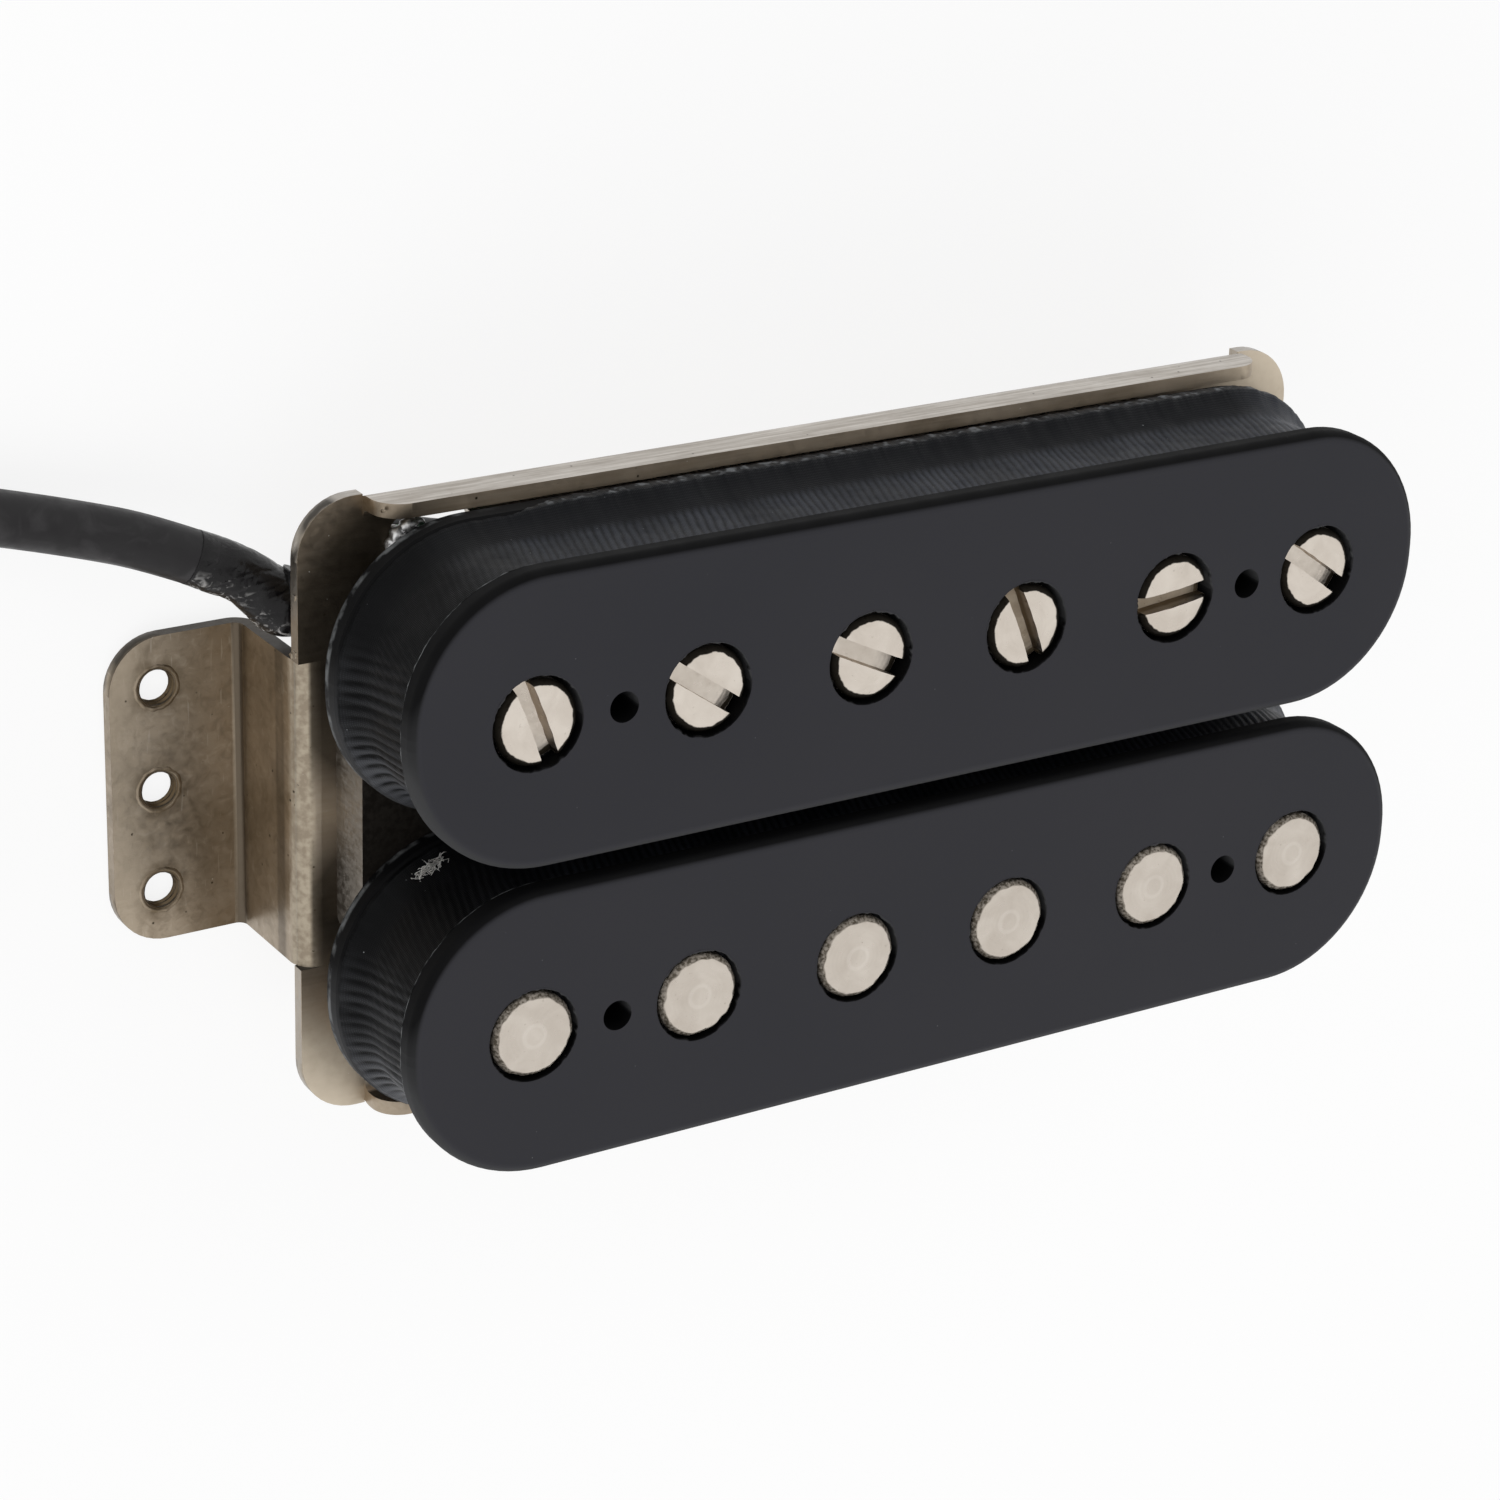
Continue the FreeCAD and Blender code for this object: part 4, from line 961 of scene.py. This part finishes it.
def cable_boot():
    """Shrunk sleeve that bulges where it turns down under the plate."""
    line = line_of(from_plate_end(BOOT_PLACES))
    last = len(BOOT_RADII) - 1

    def radius_at(share, angle):
        place = share * last
        index = min(int(place), last - 1)
        plain = BOOT_RADII[index] + (BOOT_RADII[index + 1] - BOOT_RADII[index]) * (place - index)
        spot = Vector((share * 8.0, 1.6 * cos(angle), 1.6 * sin(angle)))
        slant = rough(spot.x * 0.9 + spot.y * 0.7, spot.y * 0.35, spot.z * 0.35)
        small = rough(*(spot * 1.7 + Vector((7, 2, 5))))
        large, small = (max(0.0, 1 - 3 * abs(each)) ** 3 for each in (slant, small))
        ease = min(1.0, share / 0.12)
        return plain + (0.07 * rough(*(spot * 0.6)) - 0.04 * large - 0.015 * small) * ease

    def narrowed(spot):
        centre = line[spot]
        return [centre + (point - centre).normalized() * STUB_RADIUS for point in rings[spot]]

    rings = tube_rings(line, BOOT_SEGMENTS, radius_at)
    begin = [narrowed(BOOT_LIP), narrowed(0)]
    end = [narrowed(-1), narrowed(-1 - BOOT_LIP)]
    mesh = ring_mesh(begin + rings + end, "open")
    new_piece("cable_boot", mesh, "shrink_sleeve", "cable_sleeve")
    stub = from_plate_end(BOOT_PLACES[1:])
    spline_piece("jacket_stub", stub, STUB_RADIUS, "cable_jacket", "jacket_end")


def splice_covers():
    """Four shrunk covers over the soldered splices."""
    low, high = box_of("splice_sleeves")
    meshes = []
    for y in (low.y + SPLICE_RADIUS, high.y - SPLICE_RADIUS):
        for z in (low.z + SPLICE_RADIUS, high.z - SPLICE_RADIUS):
            rings = []
            for share in spaced(0, 1, SPLICE_STEPS):
                x = low.x + (high.x - low.x) * share
                waist = SPLICE_RADIUS - 0.16 * max(0.0, abs(2 * share - 1) - 0.8) / 0.2 - 0.03
                rings.append([(x, *polar(
                    (y, z), waist - 0.03 * rough(x * 0.8, y + cos(angle), z + sin(angle)), angle,
                )) for angle in angles(SPLICE_SEGMENTS)])
            meshes.append(ring_mesh(rings))
    new_piece("splice_covers", joined(meshes), "black_insulation", "splice_sleeves")


cable_boot()
splice_covers()


# Coil tape


def tape_relief(out, way, height, seed):
    """How far the tape stands out at one place, and how light it is painted there: light on crests,
    shade in grooves and on the turns facing -X and +Y, light on those facing -X and -Y.
    """
    turn = atan2(out.y, out.x)
    facing = max(0.0, cos(turn - radians(197)) - 0.66) / 0.34
    lit = unit((degrees(turn) % 360 - 188) / 30) if degrees(turn) % 360 < 260 else 0.0
    # Leaning ribs, which wander along the band
    wander = rough(way * 0.12, height * 0.25, seed)
    wander += 0.16 * rough(way * 1.4, height * 4.0, seed + 5)
    rib = 0.5 + 0.5 * cos(2 * pi * (way - RIB_LEAN * height + 0.5 * wander) / RIB_PITCH)
    patch = 0.55 + 0.45 * rough(way * 0.3, height * 0.6, seed + 7)
    upper = unit((height - 0.2) / 0.1)
    # Pleats at the rounded ends
    sway = 0.35 * rough(way * 0.25, height * 0.45, seed + 3)
    ridge = 0.5 + 0.5 * cos(2 * pi * (way + sway + PLEAT_LEAN * height) / PLEAT_PITCH)
    groove = (1 - ridge) ** 1.8
    window = unit((0.52 - abs(height - 0.5)) / 0.12)
    depth = min(1.0, 1.3 * facing) * window * (0.6 + 0.7 * rough(way * 0.6, seed, 4))
    belly = 1 - (2 * height - 1) ** 2
    lump = rough(way * 0.35, height * 1.2, seed + 11)
    stand = 0.08 * rib * patch * upper * (1 - 0.6 * facing) - 0.2 * groove * depth
    stand += 0.06 * belly + 0.04 * lump
    # Painted light on crests, painted shade on the turns facing -X and +Y, painted light on those
    # facing -X and -Y
    shade = 1 - 0.8 * max(0.0, cos(turn - radians(140))) ** 2
    shade = max(0.04, shade - 0.35 * max(0.0, cos(2.2 * (turn - radians(135)))))
    ends = min(1.0, abs(out.x) * 1.5)
    shown = min(1.0, 1.5 * rib) * patch * upper * (1 - 0.7 * ends) + 0.42 * ends
    plain = (0.09 + 0.91 * shown) * shade * (1 + 1.1 * lit)
    return stand, unit(plain * (1 - min(1.0, 2.4 * groove * depth)) * (1 + 0.25 * lump))


def tape(node, name, seed, flap_turn):
    """Cloth tape round one coil, with the end of its last layer."""
    low, high = box_of(node)
    radius = (high.y - low.y - END_FLAT) / 2
    places, length = outline_of(low, high, radius, TAPE_STEP)
    shelf = low.z - TAPE_OVERLAP
    top = high.z + TAPE_OVERLAP
    back = -TAPE_SKIN - TAPE_THICKNESS
    rings = []
    crest_lights_and_shades = []
    for place, out, way in places:
        past = atan2(out.y, out.x) % (2 * pi) - radians(flap_turn)
        step = FLAP_STEP if 0 < past < radians(FLAP_ANGLE) and place.x < 0 else 0.0
        wrap = min(1.0, max(0.0, abs(out.y) - 0.5) * 3) * min(1.0, max(0.0, place.x + 22) / 3)
        ragged = 0.16 * rough(way * 0.7, seed, 8) + 0.12 * rough(way * 3.0, seed, 9)
        bottom = shelf - wrap * (TAPE_WRAP + ragged)
        bumps = 0.07 * rough(way * 1.5, seed, 3) + 0.04 * rough(way * 5.0, seed, 4)
        reach = TAPE_INSET + 0.09 * wrap - 0.14 * (1 - wrap) + bumps
        ring = []
        for level in spaced(bottom, top, TAPE_ROWS - 1):
            height = max(0.0, (level - shelf) / (top - shelf))
            tuck = 0.08 * max(0.0, 1 - (top - level) / 0.3) ** 2
            relief, crest_light_and_shade = tape_relief(out, way, height, seed)
            slope = (1 - height / TAPE_SLOPE) ** 2 if height < TAPE_SLOPE else 0.0
            stand = (step * height - TAPE_SKIN - tuck) * (1 - slope) + reach * slope
            stand += relief * (1 - 0.4 * slope)
            ring.append((*(place + out * (reach if level < shelf else stand)), level))
            crest_lights_and_shades.append(crest_light_and_shade)
        inside = [(back, top), (back, shelf), (reach - 0.1, shelf), (reach - 0.1, bottom)]
        ring += [(*(place + out * wide), level) for wide, level in inside]
        crest_lights_and_shades += [0.0] * len(inside)
        rings.append(ring)
    mesh = ring_mesh(rings, "joined")
    mesh.attributes.new("crest_light_and_shade", "FLOAT", "POINT").data.foreach_set("value", crest_lights_and_shades)
    layer = mesh.uv_layers.new(name="around")
    for face in mesh.polygons:
        rows = [vertex // len(rings[0]) for vertex in face.vertices]
        wraps = max(rows) - min(rows) > 1
        for index, vertex, row in zip(face.loop_indices, face.vertices, rows):
            way = places[row][2] + (length if wraps and row == 0 else 0)
            layer.data[index].uv = (way, mesh.vertices[vertex].co.z)
    new_piece(name, mesh, "coil_tape", node)


tape("screw_coil_tape", "screw_coil_cloth", 1.0, 196)
tape("slug_coil_tape", "slug_coil_cloth", 23.0, 205)


# Poles


def slot_block(angle, x):
    """The space of a slot, a little uneven along its walls and floor."""
    half = SLOT_WIDTH / 2
    top = POLE_TOP + 1
    spin = Matrix.Rotation(radians(angle), 4, "Z")
    rings = []
    for share in spaced(0, 1, SLOT_STEPS):
        along = (share - 0.5) * 2.4 * HEAD_RADIUS
        left, right, down = [0.03 * rough(along * 1.7, x, side * 5.0) for side in range(3)]
        floor = POLE_TOP - SLOT_DEPTH + down
        near, far = left - half, half + right
        corners = [(near, floor), (far, floor), (far, top), (near, top)]
        ring = [spin @ Vector((along, *corner)) + Vector((x, ROW_Y, 0)) for corner in corners]
        rings.append(ring)
    return ring_mesh(rings)


def screw_head(x, angle):
    """Crowned head with a worn edge and a slot."""
    shoulder = POLE_TOP - CROWN
    foot = POLE_TOP - HEAD_HEIGHT
    profile = [(0.02, POLE_TOP)]
    for share in spaced(0, 1, 8)[1:]:
        profile.append((FACE_RADIUS * share, POLE_TOP - (CROWN - 0.14) * share ** 2))
    profile += [(FACE_RADIUS + 0.12, shoulder + 0.06), (HEAD_RADIUS, shoulder - 0.12)]
    profile += [(HEAD_RADIUS, foot + 0.08), (HEAD_RADIUS - 0.08, foot), (0.5, foot)]

    def worn(radius, height, turn):
        if FACE_RADIUS - 0.01 < radius < HEAD_RADIUS - 0.01 and height >= POLE_TOP - 1:
            radius += 0.07 * rough(cos(turn) * 4.0, sin(turn) * 4.0, x)
        return radius, height

    cutter = new_object("cutter", slot_block(angle, x))
    head = ring_mesh(turned(profile, (x, ROW_Y), POLE_SEGMENTS, worn))
    cut = dict(object=cutter, operation="DIFFERENCE", solver="EXACT")
    bevel = dict(width=0.04, segments=2, limit_method="ANGLE", angle_limit=radians(40))
    made = baked(head, BOOLEAN=cut, BEVEL=bevel)
    bpy.data.objects.remove(cutter)
    return made


def threaded_shank(x):
    """Shank with a rolled thread that fades out under the head and at the tip."""
    top = POLE_TOP - HEAD_HEIGHT + 0.05

    def rolled(radius, height, angle):
        groove = unit(1.25 * thread(height, THREAD_PITCH, angle) - 0.12)
        fade = min(1.0, (top - height) / 2.4)
        tip = max(0.0, 1 - (height - SCREW_TIP) / 0.5)
        return radius - 0.01 - THREAD_DEPTH * groove * fade - 0.45 * tip, height

    profile = [(SHANK_RADIUS, height) for height in spaced(SCREW_TIP, top, SHANK_ROWS)]
    return ring_mesh(turned(profile, (x, ROW_Y), SHANK_SEGMENTS, rolled))


def new_pole(name, index, mesh, body, node):
    """A pole, smooth apart from its edges."""
    sheet = bmesh.new()
    sheet.from_mesh(mesh)
    limit = radians(POLE_SMOOTH_ANGLE)
    for edge in sheet.edges:
        edge.smooth = len(edge.link_faces) != 2 or edge.calc_face_angle() < limit
    for face in sheet.faces:
        face.smooth = True
    mesh_from(sheet, mesh)
    number = str(index + 1)
    new_piece(name + number, mesh, "pole_steel", node + number, body=body)


def pole_screws():
    """Six adjustable poles, each on its own body."""
    for index, angle in enumerate(SLOT_ANGLES):
        mesh = joined([screw_head(pole_x(index), angle), threaded_shank(pole_x(index))])
        new_pole("adjusting_screw_", index, mesh, "screw_" + str(index + 1), "pole_screw_")


def pole_slugs():
    """Six fixed poles with a worn bevel and a turning mark."""
    for index in range(POLE_COUNT):
        low, high = box_of("pole_slug_" + str(index + 1))
        profile = [(0.03, high.z - 0.03), (0.2, high.z - 0.028), (0.38, high.z - 0.015)]
        profile += [(radius, high.z) for radius in spaced(0.5, SLUG_FACE, 10)]
        for share in spaced(0, 1, 6)[1:]:
            drop = SLUG_CHAMFER * share ** 1.35
            profile.append((SLUG_FACE + SLUG_CHAMFER * share, high.z - drop))
        profile += [(SLUG_RADIUS, high.z - 1.2), (SLUG_RADIUS, low.z + 0.3)]
        profile.append((SLUG_RADIUS - 0.3, low.z))

        def worn(radius, height, angle):
            if SLUG_FACE - 0.01 < radius < SLUG_RADIUS + 0.01 and height >= high.z - 0.5:
                wear = 0.08 * rough(cos(angle) * 3.5, sin(angle) * 3.5, index * 5.3)
                dent = 0.05 * rough(angle * 9.0, height * 9.0, index * 5.3 + 2)
                radius = min(radius + wear + dent, SLUG_RADIUS)
            return radius, height

        mesh = ring_mesh(turned(profile, (pole_x(index), -ROW_Y), POLE_SEGMENTS, worn))
        new_pole("fixed_pole_", index, mesh, "pickup", "pole_slug_")


pole_screws()
pole_slugs()


# Torn and moulded edges of the bobbins


def torn_rims():
    """Thin uneven rims that drilling left round each mouth."""
    meshes = []
    for row, y in enumerate((ROW_Y, -ROW_Y)):
        for index in range(POLE_COUNT):
            centre = Vector((pole_x(index), y, BOBBIN_TOP))
            rings = []
            for angle in angles(MOUTH_SEGMENTS):
                out = Vector((cos(angle), sin(angle), 0))
                seed = Vector((cos(angle) * 4.5, sin(angle) * 4.5, index * 3.1 + row * 40))
                tear = noise.noise(seed) + 0.6 * noise.noise(seed * 3.0)
                inner = MOUTH_RADIUS - 0.03 - 0.15 * max(0.0, tear)
                lift = 0.008 + 0.03 * max(0.0, noise.noise(seed * 2.0 + Vector((5, 5, 5))))
                section = [(MOUTH_RADIUS + 0.1, -0.04), (MOUTH_RADIUS + 0.04, lift), (inner, -0.03)]
                section += [(inner + 0.04, -0.25), (MOUTH_RADIUS + 0.05, -0.35)]
                rings.append([centre + out * wide + Vector((0, 0, high)) for wide, high in section])
            meshes.append(ring_mesh(rings, "joined"))
    new_piece("torn_rims", joined(meshes), "bobbin_plastic")


def moulding_flash():
    """Uneven beads that the moulds left along the rims of the top flanges."""
    meshes = []
    radius = HALF_WIDTH - END_FLAT / 2
    for row, y in enumerate((ROW_Y, -ROW_Y)):
        low = (-HALF_LENGTH, y - HALF_WIDTH)
        high = (HALF_LENGTH, y + HALF_WIDTH)
        rings = []
        for place, out, way in outline_of(low, high, radius, FLASH_STEP)[0]:
            lump = 0.5 + rough(way * 0.9, row * 9.0, 1.0) + 0.4 * rough(way * 3.0, row, 2)
            size = 0.02 + 0.08 * max(0.0, min(1.2, lump)) * unit((-20 - place.x) / 5)
            rings.append([
                (*(place - out * (0.13 - size * cos(angle))), RIM_HEIGHT + 0.02 + size * sin(angle))
                for angle in angles(8)
            ])
        meshes.append(ring_mesh(rings, "joined"))
    new_piece("moulding_flash", joined(meshes), "bobbin_plastic")


torn_rims()
moulding_flash()


# Tapped holes and burrs of the baseplate, lint on the tape, and solder at the opening


def tapped_holes():
    """Threads and raised lips in the six holes of the feet."""
    meshes = []
    rows = [(row, FOOT_TOP * (1 - row / HOLE_ROWS)) for row in range(1, HOLE_ROWS + 1)]
    for x in (-HOLE_X, HOLE_X):
        for y in (-HOLE_PITCH, 0, HOLE_PITCH):

            def lip(grow, lift, angle):
                uneven = rough(3 * cos(angle), 3 * sin(angle), x + y)
                return HOLE_RADIUS + grow * (1 + 0.4 * uneven), FOOT_TOP + lift * (1 + 0.8 * uneven)

            def tapped(row, height, angle):
                ridge = max(0.0, 1.3 * thread(height, TAP_PITCH, angle) - 0.3)
                return HOLE_RADIUS + 0.01 - TAP_DEPTH * ridge * min(1.0, row / 4), height

            rings = turned(HOLE_LIPS, (x, y), HOLE_SEGMENTS, lip)
            rings += turned(rows, (x, y), HOLE_SEGMENTS, tapped)
            meshes.append(ring_mesh(rings, "open"))
    new_piece("tapped_holes", joined(meshes), "nickel_silver")


def burrs():
    """Ragged crumbs where the press sheared the sheet."""
    mesh = lumps(BURRS, (0.6, 1, 1))
    limit = 0.05 - PLATE_END
    for vertex in mesh.vertices:
        vertex.co += Vector((0, 1, 1)) * 0.14 * noise.noise(vertex.co * 6.0)
        vertex.co.x = max(-limit, min(limit, vertex.co.x))
    new_piece("sheared_burrs", mesh, "nickel_silver")


def drift(*place):
    """Noise along each of the three axes."""
    shifts = ((9.3, -1.5, -7.9), (-9.2, -9.6, 8.7), (1.3, -7.7, 4.4))
    return Vector([noise.noise(Vector(place) + Vector(shift)) for shift in shifts])


def lint():
    """A tuft of loose fibres."""
    fibres = []
    for index in range(LINT_FIBRES):
        spread = drift(index * 3.7, 1.3, 0.4)
        offset = Vector((spread.x * 1.3, spread.x * 0.75 + spread.y * 0.3, abs(spread.z) * 0.5))
        middle = Vector(LINT_PLACE) + offset
        line = []
        for step in range(7):
            curl = drift(index * 5.1, step * 0.4, 7.7)
            line.append(middle + curl * 0.7 + Vector((0.1, 0.04, 0)) * (step - 3))
        fibres.append(ring_mesh(tube_rings(line, 5, lambda share, angle: LINT_RADIUS)))
    new_piece("lint", joined(fibres), "white_insulation")


def solder():
    """Frozen lumps of solder, melted into each other."""
    melted = dict(mode="VOXEL", voxel_size=0.05)
    made = baked(lumps(SOLDER_LUMPS, (1, 1, 0.8)), REMESH=melted, SMOOTH=dict(iterations=3))
    for vertex in made.vertices:
        vertex.co += vertex.normal * (noise.noise(vertex.co * 2.6) * 0.1)
        vertex.co.z = max(vertex.co.z, PLATE_TOP)
    made.shade_smooth()
    new_piece("solder_lumps", made, "tinned_copper", "shield_solder")


tapped_holes()
burrs()
lint()
solder()


# Light, floor and background


def area_light(name, place, size, power):
    """A square soft box."""
    data = bpy.data.lights.new(name, "AREA")
    data.size = size * MM
    data.energy = power
    lamp = new_object(name, data)
    lamp.location = metres(place)
    lamp.visible_camera = False
    lamp.visible_glossy = False
    lamp.rotation_mode = "QUATERNION"
    lamp.rotation_quaternion = (metres(LAMP_AIM) - metres(place)).to_track_quat("-Z", "Y")


def seen_directly(tree):
    """One for rays that come from the camera, reflect or pass through."""
    rays = ("Is Camera Ray", "Is Glossy Ray", "Is Transmission Ray")
    camera, glossy, through = [Field(tree, "ShaderNodeLightPath", output=name) for name in rays]
    return camera.most(glossy).most(through)


def make_world():
    """Soft surroundings that show as white behind the object."""
    world = bpy.data.worlds.new("studio")
    bpy.context.scene.world = world
    world.use_nodes = True
    tree = world.node_tree
    strength = Field(tree, "ShaderNodeMix", {0: seen_directly(tree), 2: WORLD_STRENGTH, 3: 1.0})
    background = tree.nodes["Background"]
    background.inputs["Color"].default_value = (1, 1, 1, 1)
    tree.links.new(strength.socket, background.inputs["Strength"])


def make_floor():
    """Pale floor that keeps a faint shadow and runs into the white behind it."""
    half = FLOOR_SIZE * MM / 2
    corners = [(-half, -half, 0), (half, -half, 0), (half, half, 0), (-half, half, 0)]
    mesh = bpy.data.meshes.new("floor")
    mesh.from_pydata(corners, [], [(0, 1, 2, 3)])
    material = bpy.data.materials.new("floor")
    material.use_nodes = True
    tree = material.node_tree
    tree.nodes.remove(tree.nodes["Principled BSDF"])
    diffuse = Field(tree, "ShaderNodeBsdfDiffuse", {"Color": FLOOR_COLOUR})
    glow = Field(tree, "ShaderNodeEmission", {"Strength": 1.0})
    share = seen_directly(tree) * FLOOR_GLOW
    surface = Field(tree, "ShaderNodeMixShader", {0: share, 1: diffuse, 2: glow})
    tree.links.new(surface.socket, tree.nodes["Material Output"].inputs["Surface"])
    mesh.materials.append(material)
    new_object("floor", mesh)


make_world()
make_floor()
for name, (place, size, power) in LAMPS.items():
    area_light(name, place, size, power)

bpy.context.scene.view_settings.view_transform = "Standard"
